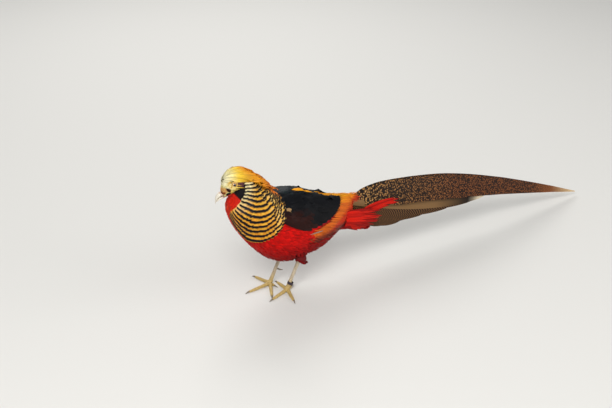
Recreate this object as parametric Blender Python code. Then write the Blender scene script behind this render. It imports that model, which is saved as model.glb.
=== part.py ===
"""Golden pheasant cock, a life-size standing model.

Metres, +Z up, the head towards -X and the bird's left side towards -Y.
The origin is on the floor, under the middle of the bird from bill tip to tail tip.
"""

import math

import bmesh
import bpy
from mathutils import Matrix, Vector
from mathutils.bvhtree import BVHTree

MM = 0.001
GAP = 0.3

# Sizes below are millimetres in the bird's own frame, whose x = 0 is under the middle of its back.
# The whole bird is then scaled to metres and moved along X, so that the origin is at its middle.
BILL_TIP_X = -180
TAIL_TIP_X = 670
MIDDLE_X = (BILL_TIP_X + TAIL_TIP_X) / 2
RUMP_X = 30
TAIL_ROOT_X = 88

# Stations of a loft: place along its axis, top, bottom and half width.
TORSO_STATIONS = [
    (-153, 184, 184, 0),
    (-147, 201, 154, 25),
    (-128, 207, 120, 40),
    (-98, 203, 84, 49),
    (-60, 195, 62, 52),
    (-18, 186.5, 58, 49),
    (22, 168, 68, 41),
    (56, 157, 87, 29),
    (TAIL_ROOT_X, 150, 103, 17),
]
NECK_STATIONS = [
    (0, 46, -36, 38),
    (18, 38, -34, 31),
    (34, 28, -30, 25),
    (48, 21, -25, 19),
    (58, 17, -19, 15),
]
HEAD_STATIONS = [
    (-34, -6, -6, 0),
    (-30.5, 3, -14, 10),
    (-20, 9, -20, 14.5),
    (-6, 11.5, -20.5, 16),
    (6, 10, -19, 14.2),
    (14, 5, -17.5, 10.5),
    (20.5, -2.5, -16.8, 7),
]
UPPER_BILL_STATIONS = [
    (20.5 + GAP, -3.5, -12.2, 6.2),
    (27, -4.9, -12.4, 5.3),
    (34, -8.3, -13.5, 3.8),
    (39.5, -13, -16.2, 1.9),
    (42.4, -18.2, -18.2, 0),
]
LOWER_BILL_STATIONS = [
    (20.5 + GAP, -12.6, -16.8, 5.2),
    (28, -12.9, -17, 4.1),
    (35, -14.4, -17.3, 2.4),
    (38.4, -17, -17, 0),
]
TAIL_ROOT_STATIONS = [
    (TAIL_ROOT_X + GAP, 149, 104, 16),
    (104, 151, 105, 13.5),
    (124, 151, 112, 9.5),
    (142, 147, 120, 5),
    (152, 138, 128, 0),
]
CREST_STATIONS = [
    (-166.5, 231, 231, 0),
    (-161.5, 243, 225, 9.5),
    (-149, 253.5, 228, 14.5),
    (-131, 254, 224, 18),
    (-112, 242.5, 214, 20.5),
    (-95, 230, 205, 19),
    (-84, 223, 202, 15),
    (-74, 211.5, 202, 6),
]
UNDERTAIL_STATIONS = [
    (58, 112, 86, 16),
    (86, 108, 82, 15),
    (116, 96, 74, 12),
    (150, 84, 71, 5),
]

# Head: the point near the eyes that its sizes are measured from, how far the bill points down, and the turn
# to its right. The eyes are a little behind that point.
EYE_MIDDLE = Vector((-147, 0, 228))
HEAD_PITCH = math.radians(28)
HEAD_TURN = math.radians(8)
HEAD_PIVOT = Vector((-125, 0, 0))
EYE_RADIUS = 5.2
EYE_BACK = -3
EYE_SIDE = 11
LID_SIDE = 14.6
LID_THICKNESS = 1.1

# Neck: it rises from inside the torso and leans forward.
NECK_FOOT = Vector((-107, 0, 172))
NECK_LEAN = math.radians(20)

SKIN_SIDES = 22


def clear_scene():
    for found in list(bpy.data.objects):
        bpy.data.objects.remove(found)
    for found in list(bpy.data.collections):
        bpy.data.collections.remove(found)


clear_scene()
BIRD = bpy.data.collections.new("golden_pheasant")
bpy.context.scene.collection.children.link(BIRD)


def colour(name, hex_value, roughness=0.7):
    """A plain material with a base colour given as sRGB hex."""
    made = bpy.data.materials.new(name)
    made.use_nodes = True
    shader = made.node_tree.nodes["Principled BSDF"]
    channels = [int(hex_value[i : i + 2], 16) / 255 for i in (0, 2, 4)]
    linear = [c / 12.92 if c < 0.04045 else ((c + 0.055) / 1.055) ** 2.4 for c in channels]
    shader.inputs["Base Color"].default_value = (*linear, 1)
    shader.inputs["Roughness"].default_value = roughness
    shader.inputs["Metallic"].default_value = 0
    return made


SCARLET = colour("scarlet_plumage", "B80E0E")
GOLD = colour("gold_plumage", "E8A624")
CAPE_ORANGE = colour("cape_plumage", "E39A3C")
GREEN_BLACK = colour("mantle_plumage", "12241F")
BLUE_BLACK = colour("wing_plumage", "10131C")
TAIL_BROWN = colour("tail_plumage", "6B4428")
FACE = colour("face_plumage", "C88A4A")
HORN = colour("bill_horn", "CDBFA8", 0.4)
LEG_SKIN = colour("leg_skin", "C9B377", 0.5)
CLAW_HORN = colour("claw_horn", "8A7E68", 0.4)
EYE_GLOSS = colour("eye", "1A0E08", 0.1)
BAND_METAL = colour("leg_band", "4A4048", 0.5)


def spline(points, t):
    """Catmull-Rom point at t along a list of tuples. The start is rounded where the first half width is 0."""
    last = len(points) - 1
    i = min(int(t), last - 1)
    f = t - i
    a, b = Vector(points[i]), Vector(points[i + 1])
    before = Vector(points[i - 1]) if i > 0 else 2 * a - b
    after = Vector(points[i + 2]) if i + 2 <= last else 2 * b - a
    if i == 0 and len(a) == 4 and a[3] == 0:
        before = Vector((b[0], b[2], b[1], -b[3]))
    return 0.5 * (2 * a + (b - before) * f + (2 * before - 5 * a + 4 * b - after) * f**2
                  + (3 * a - before - 3 * b + after) * f**3)


def mesh_object(name, bm, turn_outwards=True):
    """A scene object from a bmesh."""
    if turn_outwards:
        bm.normal_update()
        bmesh.ops.recalc_face_normals(bm, faces=bm.faces)
    mesh = bpy.data.meshes.new(name)
    bm.to_mesh(mesh)
    bm.free()
    made = bpy.data.objects.new(name, mesh)
    BIRD.objects.link(made)
    return made


def loft(name, stations, frame=None, steps=2, sides=SKIN_SIDES, lift=0):
    """A closed body through elliptical sections along X, or along a frame's X, grown by lift."""
    bm = bmesh.new()
    rings = []
    count = (len(stations) - 1) * steps
    for k in range(count + 1):
        s, top, bottom, half_width = spline(stations, k / steps)
        middle, half_height = (top + bottom) / 2, (top - bottom) / 2
        if half_width < 0.05:
            rings.append([bm.verts.new((s, 0, middle))])
            continue
        ring = []
        for j in range(sides):
            angle = math.tau * j / sides
            point = (s, -half_width * math.sin(angle), middle + half_height * math.cos(angle))
            ring.append(bm.verts.new(point))
        rings.append(ring)
    for ring, following in zip(rings, rings[1:]):
        for j in range(sides):
            corners = [ring[j % len(ring)], following[j % len(following)],
                       following[(j + 1) % len(following)], ring[(j + 1) % len(ring)]]
            bm.faces.new(list(dict.fromkeys(corners)))
    for ring in (rings[0], rings[-1]):
        if len(ring) > 1:
            bm.faces.new(ring)
    bmesh.ops.triangulate(bm, faces=bm.faces)
    if lift:
        bm.normal_update()
        bmesh.ops.recalc_face_normals(bm, faces=bm.faces)
        bm.normal_update()
        for vert, normal in [(v, v.normal.copy()) for v in bm.verts]:
            vert.co += normal * (lift(vert.co) if callable(lift) else lift)
    if frame:
        bm.transform(frame)
    return mesh_object(name, bm)


def frame_matrix(origin, along, up):
    """A frame whose X runs along, and whose Z is up."""
    side = up.cross(along)
    return Matrix((
        (along.x, side.x, up.x, origin.x),
        (along.y, side.y, up.y, origin.y),
        (along.z, side.z, up.z, origin.z),
        (0, 0, 0, 1),
    ))


TURN = (Matrix.Translation(HEAD_PIVOT) @ Matrix.Rotation(-HEAD_TURN, 4, "Z")
        @ Matrix.Translation(-HEAD_PIVOT))
HEAD_FRAME = TURN @ frame_matrix(
    EYE_MIDDLE,
    Vector((-math.cos(HEAD_PITCH), 0, -math.sin(HEAD_PITCH))),
    Vector((-math.sin(HEAD_PITCH), 0, math.cos(HEAD_PITCH))),
)
NECK_FRAME = frame_matrix(
    NECK_FOOT,
    Vector((-math.sin(NECK_LEAN), 0, math.cos(NECK_LEAN))),
    Vector((math.cos(NECK_LEAN), 0, math.sin(NECK_LEAN))),
)


def remove(*objects):
    for found in objects:
        mesh = found.data
        bpy.data.objects.remove(found)
        bpy.data.meshes.remove(mesh)


def largest_surface(found):
    """Keeps only the largest closed surface of an object's mesh."""
    bm = bmesh.new()
    bm.from_mesh(found.data)
    left = set(bm.verts)
    groups = []
    while left:
        group, edge_of_group = set(), [left.pop()]
        while edge_of_group:
            vert = edge_of_group.pop()
            group.add(vert)
            for edge in vert.link_edges:
                other = edge.other_vert(vert)
                if other in left:
                    left.discard(other)
                    edge_of_group.append(other)
        groups.append(group)
    groups.sort(key=len)
    drop = [vert for group in groups[:-1] for vert in group]
    bmesh.ops.delete(bm, geom=drop, context="VERTS")
    bm.to_mesh(found.data)
    bm.free()


def combine(found, others, operation, solver="MANIFOLD"):
    """Joins the others to an object, or cuts them from it, in one Boolean, and removes them."""
    tools = bpy.data.collections.new("pieces")
    for other in others:
        BIRD.objects.unlink(other)
        tools.objects.link(other)
    change = found.modifiers.new("combine", "BOOLEAN")
    change.operation = operation
    change.operand_type = "COLLECTION"
    change.collection = tools
    change.solver = solver
    bpy.context.view_layer.update()
    graph = bpy.context.evaluated_depsgraph_get()
    result = bpy.data.meshes.new_from_object(found.evaluated_get(graph))
    found.modifiers.clear()
    old = found.data
    found.data = result
    bpy.data.meshes.remove(old)
    remove(*others)
    bpy.data.collections.remove(tools)
    largest_surface(found)
    return found


def copy_of(found, name):
    made = bpy.data.objects.new(name, found.data.copy())
    BIRD.objects.link(made)
    return made


def keep_side(found, point, normal):
    """Cuts an object with a plane, keeps the side that the normal points away from, and closes the cut."""
    bm = bmesh.new()
    bm.from_mesh(found.data)
    geometry = list(bm.verts) + list(bm.edges) + list(bm.faces)
    cut = bmesh.ops.bisect_plane(bm, geom=geometry, plane_co=point, plane_no=normal, clear_outer=True)
    rim = [e for e in cut["geom_cut"] if isinstance(e, bmesh.types.BMEdge) and e.is_boundary]
    for face in bmesh.ops.holes_fill(bm, edges=rim, sides=0)["faces"]:
        face.normal_update()
        if face.normal.dot(normal) < 0:
            face.normal_flip()
    bm.to_mesh(found.data)
    bm.free()
    return found


def outline_points(points, count):
    """Points round a smooth closed outline through a few given ones."""
    total = len(points)
    found = []
    for k in range(count):
        t = total * k / count
        i, f = int(t), t - int(t)
        before, a, b, after = (Vector(points[(i + n) % total]) for n in (-1, 0, 1, 2))
        found.append(0.5 * (2 * a + (b - before) * f + (2 * before - 5 * a + 4 * b - after) * f**2
                            + (3 * a - before - 3 * b + after) * f**3))
    return found


def prism(points, low, high, axis="Y", count=18, grow=0):
    """A smooth outline drawn out along an axis: (x, z) from the side, (y, z) from the front, or (x, y)."""
    bm = bmesh.new()
    outline = outline_points(points, count) if count else [Vector(p) for p in points]
    centre = sum(outline, Vector((0, 0))) / len(outline)
    flat = []
    for p in outline:
        p = p + (p - centre).normalized() * grow
        flat.append(bm.verts.new({"X": (low, *p), "Y": (p[0], low, p[1]), "Z": (*p, low)}[axis]))
    drawn = bmesh.ops.extrude_face_region(bm, geom=[bm.faces.new(flat)])
    for vert in (v for v in drawn["geom"] if isinstance(v, bmesh.types.BMVert)):
        vert.co["XYZ".index(axis)] = high
    return mesh_object("outline", bm)


def box(name, low, high, frame=None):
    bm = bmesh.new()
    bmesh.ops.create_cube(bm, size=1)
    low, high = Vector(low), Vector(high)
    for vert in bm.verts:
        vert.co = [(low[i] + high[i]) / 2 + vert.co[i] * (high[i] - low[i]) for i in range(3)]
    if frame:
        bm.transform(frame)
    return mesh_object(name, bm)


def ball(name, centre, radii, frame=None, turn=None, segments=12):
    bm = bmesh.new()
    bmesh.ops.create_uvsphere(bm, u_segments=segments, v_segments=segments * 2 // 3, radius=1)
    matrix = Matrix.Translation(centre) @ (turn or Matrix.Identity(4)) @ Matrix.Diagonal((*radii, 1))
    bm.transform(frame @ matrix if frame else matrix)
    return mesh_object(name, bm)


def mirrored(found, name):
    """The same piece on the bird's other side."""
    bm = bmesh.new()
    bm.from_mesh(found.data)
    bm.transform(Matrix.Diagonal((1, -1, 1, 1)))
    bmesh.ops.reverse_faces(bm, faces=bm.faces)
    return mesh_object(name, bm, turn_outwards=False)


def finish(found, material):
    """Gives a node its material and smooth shading, and sets it in metres about the model's origin."""
    found.data.transform(Matrix.Scale(MM, 4) @ Matrix.Translation((-MIDDLE_X, 0, 0)))
    found.data.materials.clear()
    found.data.materials.append(material)
    found.data.shade_smooth()
    found.data.set_sharp_from_angle(angle=math.radians(35))


def torso(lift=0, name="torso"):
    return loft(name, TORSO_STATIONS, lift=lift)


def neck(lift=0, name="neck"):
    return loft(name, NECK_STATIONS, NECK_FRAME, sides=18, lift=lift)


def head(lift=0, name="head"):
    return loft(name, HEAD_STATIONS, HEAD_FRAME, sides=18, lift=lift)


# The body is one flesh form, parted by thin plane cuts into head, neck, torso and rump.
HEAD_CUT = (Vector((-128, 0, 213)), Vector((-0.3625, 0, 1)).normalized())
NECK_CUT = (Vector((-112, 0, 199)), Vector((-0.2, 0, 0.98)).normalized())
RUMP_CUT = (Vector((RUMP_X, 0, 0)), Vector((1, 0, 0)))


def between(whole, name, above=None, below=None):
    """A copy of the whole body between two cut planes, half a gap inside each."""
    part = copy_of(whole, name)
    if above:
        point, normal = above
        keep_side(part, point + normal * GAP / 2, -normal)
    if below:
        point, normal = below
        keep_side(part, point - normal * GAP / 2, normal)
    return part


def make_body():
    whole = combine(torso(name="whole"), [neck(), head()], "UNION")
    parts = (
        between(whole, "head", above=HEAD_CUT),
        between(whole, "neck", above=NECK_CUT, below=HEAD_CUT),
        between(whole, "torso", below=NECK_CUT),
        between(whole, "rump", above=RUMP_CUT),
    )
    keep_side(parts[2], RUMP_CUT[0] - RUMP_CUT[1] * GAP / 2, RUMP_CUT[1])
    remove(whole)
    return parts


def make_head(found):
    """Adds the lids and the wattle under the eye, then opens the sockets and the line of the mouth."""
    added, cut = [], []
    for side in (-1, 1):
        bm = bmesh.new()
        lid = bmesh.ops.create_circle(bm, segments=5, radius=LID_THICKNESS)
        bmesh.ops.transform(bm, matrix=Matrix.Translation((EYE_RADIUS - 0.8, 0, 0))
                            @ Matrix.Rotation(math.pi / 2, 4, "X"), verts=lid["verts"])
        bmesh.ops.spin(bm, geom=bm.verts[:] + bm.edges[:], cent=(0, 0, 0), axis=(0, 0, 1),
                       angle=math.tau, steps=12, use_merge=True)
        bmesh.ops.remove_doubles(bm, verts=bm.verts, dist=0.001)
        bm.transform(HEAD_FRAME @ Matrix.Translation((EYE_BACK, side * LID_SIDE, 0))
                     @ Matrix.Rotation(math.pi / 2, 4, "X"))
        added.append(mesh_object("lid", bm))
        added.append(ball("wattle", (EYE_BACK + 1, side * 13.6, -9.5), (3.2, 2, 6), HEAD_FRAME, segments=8))
        cut.append(ball("socket", (EYE_BACK, side * EYE_SIDE, 0), (EYE_RADIUS + GAP,) * 3, HEAD_FRAME))
    combine(found, added, "UNION")
    cut.append(box("mouth", (10, -20, -12.6), (25, 20, -12.2), HEAD_FRAME))
    combine(found, cut, "DIFFERENCE")


def make_bill():
    upper = loft("bill_upper", UPPER_BILL_STATIONS, HEAD_FRAME, sides=12)
    slits = [
        ball("slit", (24.5, side * 4.4, -8.2), (2.2, 1.4, 0.8), HEAD_FRAME, Matrix.Rotation(0.3, 4, "Y"), 6)
        for side in (-1, 1)
    ]
    combine(upper, slits, "DIFFERENCE")
    lower = loft("bill_lower", LOWER_BILL_STATIONS, HEAD_FRAME, sides=10)
    return upper, lower


def make_eyes():
    return [
        ball(name, (EYE_BACK, side * EYE_SIDE, 0), (EYE_RADIUS,) * 3, HEAD_FRAME)
        for name, side in (("eye_left", 1), ("eye_right", -1))
    ]


def limb(name, points, radii, sides=8, steps=3):
    """A tapered round tube along a smooth curve through the points, with flat ends."""
    bm = bmesh.new()
    line = [Vector((*p, r)) for p, r in zip(points, radii)]
    count = (len(line) - 1) * steps
    samples = [spline(line, k / steps) for k in range(count + 1)]
    places = [Vector(s[:3]) for s in samples]
    rings = []
    side = None
    for k, sample in enumerate(samples):
        along = (places[min(k + 1, count)] - places[max(k - 1, 0)]).normalized()
        if side is None:
            side = along.orthogonal().normalized()
        side = (side - along * side.dot(along)).normalized()
        up = along.cross(side)
        ring = []
        for j in range(sides):
            angle = math.tau * (j + 0.5) / sides
            ring.append(bm.verts.new(places[k] + (side * math.cos(angle) + up * math.sin(angle)) * sample[3]))
        rings.append(ring)
    for ring, following in zip(rings, rings[1:]):
        for j in range(sides):
            nxt = (j + 1) % sides
            bm.faces.new((ring[j], following[j], following[nxt], ring[nxt]))
    bm.faces.new(rings[0])
    bm.faces.new(rings[-1])
    return mesh_object(name, bm)


# Feathers. Each is a thin blade, broadest past its middle, and lies at a height over the form that it covers.
VANE_THICKNESS = 0.7
VANE_TILT = math.radians(9)
BROADEST = 0.62


def blade_width(t):
    """A vane's share of its full width at t from root to tip."""
    if t < BROADEST:
        return 0.42 + 0.58 * math.sin(math.pi / 2 * t / BROADEST)
    return math.sqrt(1.0012 - ((t - BROADEST) / (1 - BROADEST))**2)


def vane(points, normals, half_width, tilt=0, camber=0, strips=1, taper=blade_width):
    """One feather along its points. The tilt raises its lower edge, and the camber drops its sides."""
    bm = bmesh.new()
    last = len(points) - 1
    bmesh.ops.create_grid(bm, x_segments=last, y_segments=strips, size=1)
    for vert in bm.verts:
        i = round((vert.co.x + 1) / 2 * last)
        along = (points[min(i + 1, last)] - points[max(i - 1, 0)]).normalized()
        out = (normals[i] - along * normals[i].dot(along)).normalized()
        side = Matrix.Rotation(-tilt, 3, along) @ along.cross(out)
        across = vert.co.y * half_width * taper(i / last)
        vert.co = points[i] + side * across - out * camber * abs(across)
    bmesh.ops.triangulate(bm, faces=bm.faces)
    bmesh.ops.recalc_face_normals(bm, faces=bm.faces)
    bmesh.ops.solidify(bm, geom=bm.faces[:], thickness=VANE_THICKNESS)
    return mesh_object("vane", bm)


def at_place(stations, x):
    """A loft's section at a place along its axis."""
    low, high = 0, len(stations) - 1
    for _ in range(24):
        middle = (low + high) / 2
        if spline(stations, middle)[0] < x:
            low = middle
        else:
            high = middle
    return spline(stations, low)


def on_loft(stations, x, turn, lift):
    """A point at a height over a loft, turn being the angle in degrees from its top down its left side."""
    _, top, bottom, half_width = at_place(stations, x)
    half_height = (top - bottom) / 2
    sine, cosine = math.sin(math.radians(turn)), math.cos(math.radians(turn))
    out = Vector((0, -sine * half_height, cosine * half_width)).normalized()
    return Vector((x, -half_width * sine, (top + bottom) / 2 + half_height * cosine)) + out * lift, out


def lying_vane(stations, root, tip, half_width, tilt=0, steps=3, bow=0, frame=None, **looks):
    """A vane over a loft from its root to its tip, each given as place, turn and height."""
    points, normals = [], []
    for k in range(steps + 1):
        t = k / steps
        x, turn, lift = (a + (b - a) * t for a, b in zip(root, tip))
        point, out = on_loft(stations, x, turn + bow * math.sin(math.pi * t), lift)
        points.append(frame @ point if frame else point)
        normals.append(out)
    return vane(points, normals, half_width, tilt, **looks)


# The folded wing: outline of its coat in side view, and its rows of feathers from the tail end forward.
WING_OUTLINE = [(-96, 186), (-60, 190), (-16, 186), (24, 176), (56, 166), (52, 148), (36, 136),
                (8, 124), (-18, 116), (-46, 121), (-84, 128), (-104, 148)]
WING_CORE_OUTLINE = [(-96, 184), (-60, 190), (-24, 186), (-8, 170), (-12, 150), (-26, 130), (-50, 126),
                     (-84, 132), (-102, 148)]
CAPE_OUTLINE = [(-64, 214), (-55, 202), (-56, 184), (-66, 166), (-84, 144), (-110, 127), (-137, 131),
                (-154, 150), (-164, 172), (-162, 188), (-150, 203), (-139, 224), (-122, 240), (-92, 234)]
CAPE_CORE_OUTLINE = [(-84, 216), (-80, 200), (-86, 186), (-100, 172), (-122, 166), (-142, 176), (-152, 196),
                     (-146, 214), (-122, 236), (-94, 230)]
FAR_SIDE_FRONT = [(-200, 240), (-141, 216), (-137, 190), (-131, 160), (-121, 120), (-200, 100)]
THROAT_OUTLINE = [(0, 166), (-16, 186), (-30, 206), (-34, 222), (0, 240), (34, 222), (30, 206), (16, 186)]
SPINE_SIDE = 20
SPINE_SLOPE = 0.1
SPINE_X = -60
WING_DEPTH = 6
MANTLE_DEPTH = 4
BACK_DEPTH = 3
MANTLE_REAR_X = -6
BACK_START_X = -40


def spine_strip(extra=0):
    """The tapering strip along the spine between the two folded wings."""
    front, rear = -120, 120
    half = [SPINE_SIDE - SPINE_SLOPE * (x - SPINE_X) + extra for x in (front, rear)]
    corners = [(front, -half[0]), (rear, -half[1]), (rear, half[1]), (front, half[0])]
    return prism(corners, 100, 260, "Z", count=0)


def wing_block(extra=0):
    """The room that the folded left wing takes, grown by extra."""
    outline = prism(WING_OUTLINE, -90, 0, grow=extra)
    block = combine(torso(WING_DEPTH + extra, "wing_left"), [outline], "INTERSECT")
    return combine(block, [spine_strip(-extra)], "DIFFERENCE")


def mantle_block(extra=0):
    room = box("room", (-104, -40, 130), (MANTLE_REAR_X + extra, 40, 240))
    return combine(torso(MANTLE_DEPTH + extra, "mantle"), [room], "INTERSECT")


def cape_form(at_breast, over_wing, at_neck):
    """Body and neck grown by what lies over them: close at the breast, and further off over the wing."""
    def lift(co):
        share = min(1, max(0, (co.x + 138) / 40))
        return at_breast + (over_wing - at_breast) * share

    grown = torso(lift, "cape_left")
    return combine(grown, [neck(at_neck)], "UNION")


def cape_block(extra=0):
    """The room that the left half of the cape takes."""
    outline = prism(CAPE_OUTLINE, -90, extra - GAP / 2, grow=extra)
    return combine(cape_form(5.5 + extra, 10 + extra, 6.5 + extra), [outline], "INTERSECT")


# Each row, from its top feather down: turn of the first and the step to the next, length, half width and how
# much of it is lost, where each tip ends, and heights of roots and tips over the body.
WING_ROWS = [
    dict(count=6, first=33, step=11, length=72, half_width=12, slim=0.5, rear=(54, 47, 34, 16, -4, -20),
         root_lift=1.2, tip_lift=5.2, fall=0.3),
    dict(count=4, first=37, step=14, length=42, half_width=13, slim=0.2, rear=(-8, -12, -20, -34),
         root_lift=1.2, tip_lift=6.0, fall=0.2),
    dict(count=2, first=46, step=22, length=26, half_width=14, slim=0.1, rear=(-48, -54),
         root_lift=1.2, tip_lift=5.6, fall=0.2),
]


def make_wing():
    """Shoulder core, then tertials with the flight feathers, greater coverts and lesser coverts over them."""
    core = combine(torso(2.6, "wing_left"), [prism(WING_CORE_OUTLINE, -90, 0)], "INTERSECT")
    vanes = []
    for row in WING_ROWS:
        for k in range(row["count"]):
            turn = row["first"] + row["step"] * k
            x = row["rear"][k]
            fan = 4 - 7 * k / row["count"]
            tip = (x, turn - (5 if x > 30 else 0), row["tip_lift"] - row["fall"] * k)
            root = (max(x - row["length"], -98), turn + fan, row["root_lift"])
            half_width = row["half_width"] * (1 - row["slim"] * k / row["count"])
            vanes.append(lying_vane(TORSO_STATIONS, root, tip, half_width, VANE_TILT, bow=-2))
    combine(core, [torso(GAP), neck(GAP)], "DIFFERENCE")
    left = combine(core, vanes, "UNION")
    combine(left, [torso(GAP), neck(GAP), spine_strip()], "DIFFERENCE")
    return left, mirrored(left, "wing_right")


def spine_rows(name, depth, rows, front, core_rear, half_width):
    """A core along the spine with rows of vanes, each given as tip place, length, number and spread."""
    room = box("room", (front, -40, 130), (core_rear, 40, 240))
    core = combine(torso(depth * 0.5, name), [room], "INTERSECT")
    vanes = []
    for n, (x, length, count, spread) in enumerate(rows):
        for k in range(count):
            turn = spread * (k - (count - 1) / 2) / max(1, (count - 1) / 2)
            root, tip = (x - length, turn * 0.9, 0.9), (x, turn, depth * (0.75 + 0.12 * n))
            vanes.append(lying_vane(TORSO_STATIONS, root, tip, half_width))
    combine(core, [torso(GAP), neck(GAP)], "DIFFERENCE")
    combine(core, vanes, "UNION")
    combine(core, [torso(GAP), neck(GAP)], "DIFFERENCE")
    return combine(core, [spine_strip(-GAP)], "INTERSECT")


def make_mantle():
    """The dark upper back behind the cape."""
    rows = [(MANTLE_REAR_X - 1, 34, 3, 12), (-32, 32, 2, 8)]
    return spine_rows("mantle", MANTLE_DEPTH, rows, -98, -34, 9)


def make_back():
    """The golden lower back that shows between the folded wings."""
    rows = [(RUMP_X - 2, 32, 3, 14), (12, 28, 2, 8)]
    found = spine_rows("lower_back", BACK_DEPTH, rows, BACK_START_X, 2, 6)
    combine(found, [mantle_block(GAP)], "DIFFERENCE")
    return found


# The cape: rows of feathers fanned round the neck, placed by bearing from the tail round the left side to the
# breast, and by height. Both halves leave the throat open, and the right one ends short of it, because the
# cape is drawn round towards the left.
CAPE_AXIS = Vector((-112, 0, 0))
CAPE_MARGIN = [(12, 203), (26, 196), (40, 184), (50, 170), (62, 154), (76, 142), (92, 135), (110, 133),
               (128, 136), (146, 143), (160, 156), (166, 172)]
CAPE_NECK = [(20, 224), (36, 222), (52, 220), (66, 219), (78, 218), (88, 217), (97, 216), (105, 215),
             (113, 214), (121, 212), (128, 210), (135, 206)]
# Where each row starts and ends between neck and margin, its number, half width and rise.
CAPE_ROWS = [(0.46, 1.0, 7, 13, 1.2), (0.22, 0.72, 5, 14, 1.8), (0.02, 0.42, 3, 15, 2.4)]


def cape_place(across, down):
    """Bearing and height of a place on the cape: across from nape to throat, and down from neck to margin."""
    t = across * (len(CAPE_MARGIN) - 1)
    upper, lower = spline(CAPE_NECK, t), spline(CAPE_MARGIN, t)
    return upper.lerp(lower, down)


def make_cape():
    """The core lies over the neck and shoulders, and the vanes lie on the form that it is cut from."""
    core = cape_form(3, 7, 3.5)
    shape = bmesh.new()
    shape.from_mesh(core.data)
    tree = BVHTree.FromBMesh(shape)
    shape.free()
    vanes = []
    for row, (start, end, count, half_width, rise) in enumerate(CAPE_ROWS):
        for k in range(count):
            across = (k + 0.3 + 0.4 * (row % 2)) / count
            points, normals = [], []
            for step in range(4):
                t = step / 3
                bearing, height = cape_place(across, start + (end - start) * t)
                angle = math.radians(bearing)
                out = Vector((math.cos(angle), -math.sin(angle), 0))
                middle = Vector((CAPE_AXIS.x, 0, height))
                point, normal, _, _ = tree.ray_cast(middle + out * 150, -out)
                points.append(point + normal * (rise * t - 0.8 * (1 - t)))
                normals.append(normal)
            vanes.append(vane(points, normals, half_width))
    combine(core, [prism(CAPE_CORE_OUTLINE, -90, 5, count=14)], "INTERSECT")
    left = combine(core, vanes, "UNION")
    throat = prism(THROAT_OUTLINE, -200, -125, "X", count=12)
    other_side = box("other_side", (-200, -GAP / 2, 100), (0, 60, 300))
    under = [torso(GAP), neck(GAP), head(GAP), wing_block(GAP), mantle_block(GAP), throat, other_side]
    combine(left, under, "DIFFERENCE")
    front = prism(FAR_SIDE_FRONT, 0, 90, count=0)
    return left, combine(mirrored(left, "cape_right"), [head(GAP), front], "DIFFERENCE")


CREST_LOCKS = [
    # root place, tip place, number, spread, half width, tip height
    (-116, -77, 4, 62, 9.5, -0.8),
    (-134, -96, 3, 46, 10, 0.2),
    (-148, -116, 2, 26, 10, 0.9),
]


def make_crest():
    """Silky golden feathers from the forehead back over the nape, as flat tapered locks on a thin core."""
    crest = loft("crest", CREST_STATIONS, TURN, steps=1, sides=14, lift=-1.8)
    keep_side(crest, Vector((-112, 0, 0)), Vector((1, 0, 0)))
    locks = []
    for root, tip, count, spread, half_width, height in CREST_LOCKS:
        for k in range(count):
            turn = spread * (k - (count - 1) / 2) / ((count - 1) / 2)
            ends = (root, turn * 0.85, -3.2), (tip, turn, height)
            locks.append(lying_vane(CREST_STATIONS, *ends, half_width, frame=TURN))
    combine(crest, locks, "UNION")
    cape = cape_block(3 * GAP)
    under = [head(GAP), neck(GAP), cape, mirrored(cape, "cape_other_side"), mantle_block(GAP)]
    under += [
        ball("lid", (EYE_BACK, side * (LID_SIDE - 0.6), 0), (EYE_RADIUS + 1.4,) * 3, HEAD_FRAME, segments=8)
        for side in (-1, 1)
    ]
    return combine(crest, under, "DIFFERENCE")


# Tail: where the ridge of the two central feathers runs, as place and height, and how deep their sides hang.
RIDGE = [(96, 142), (124, 155), (159, 158), (228, 151), (299, 140), (375, 120), (454, 94), (523, 69),
         (600, 39), (TAIL_TIP_X, 10)]
ROOF_SLOPE = math.radians(66)
CENTRAL_WIDTH = 50
# Side feathers, upper to lower: tip place and height, half width, and distance from the middle of the tail.
SIDE_FEATHERS = [(402, 74, 13, 13.5), (336, 78, 13, 12), (300, 75, 12, 10.5), (232, 76, 12, 9),
                 (184, 77, 11, 7.5)]


def make_tail():
    """A root, a roof of two very long central feathers, and five shorter ones stepped under each side."""
    vanes = []
    for side in (-1, 1):
        points, normals = [], []
        for place, height in RIDGE:
            share = (place - RIDGE[0][0]) / (TAIL_TIP_X - RIDGE[0][0])
            half = CENTRAL_WIDTH / 2 * central_width(share)
            points.append(Vector((place, side * (0.5 + half * math.cos(ROOF_SLOPE)),
                                  height - half * math.sin(ROOF_SLOPE))))
            normals.append(Vector((0, side * math.sin(ROOF_SLOPE), math.cos(ROOF_SLOPE))))
        vanes.append(vane(points, normals, CENTRAL_WIDTH / 2, camber=0.1, strips=2, taper=central_width))
        for n, (place, height, half_width, out) in enumerate(SIDE_FEATHERS):
            root = Vector((94, side * (out - 4.5), 132 - 5.5 * n))
            tip = Vector((place, side * out, height))
            points = []
            for t in (0, 0.33, 0.67, 1):
                bow = math.sin(math.pi * t)
                points.append(root.lerp(tip, t) + Vector((0, side * 4 * bow * (1 - t), -7 * bow)))
            normals = [Vector((0, side, 0.25)).normalized()] * 4
            vanes.append(vane(points, normals, half_width))
    root = loft("tail", TAIL_ROOT_STATIONS, sides=16)
    return combine(root, vanes, "UNION")


def central_width(t):
    """The central feathers are broad for most of their length and run out to long thin tips."""
    root = 0.45 + 0.55 * math.sin(math.pi / 2 * min(1, t / 0.2))
    return root * (1 - max(0, (t - 0.35) / 0.65)**1.3 * 0.97)


def tail_room():
    """The room that the tail takes where the coverts lie over its root."""
    room = [(TAIL_ROOT_X - 2, 150, 100, 16.5), (110, 154, 84, 20), (150, 160, 72, 23), (230, 154, 70, 24)]
    return loft("tail_room", room, steps=1, sides=12)


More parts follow.
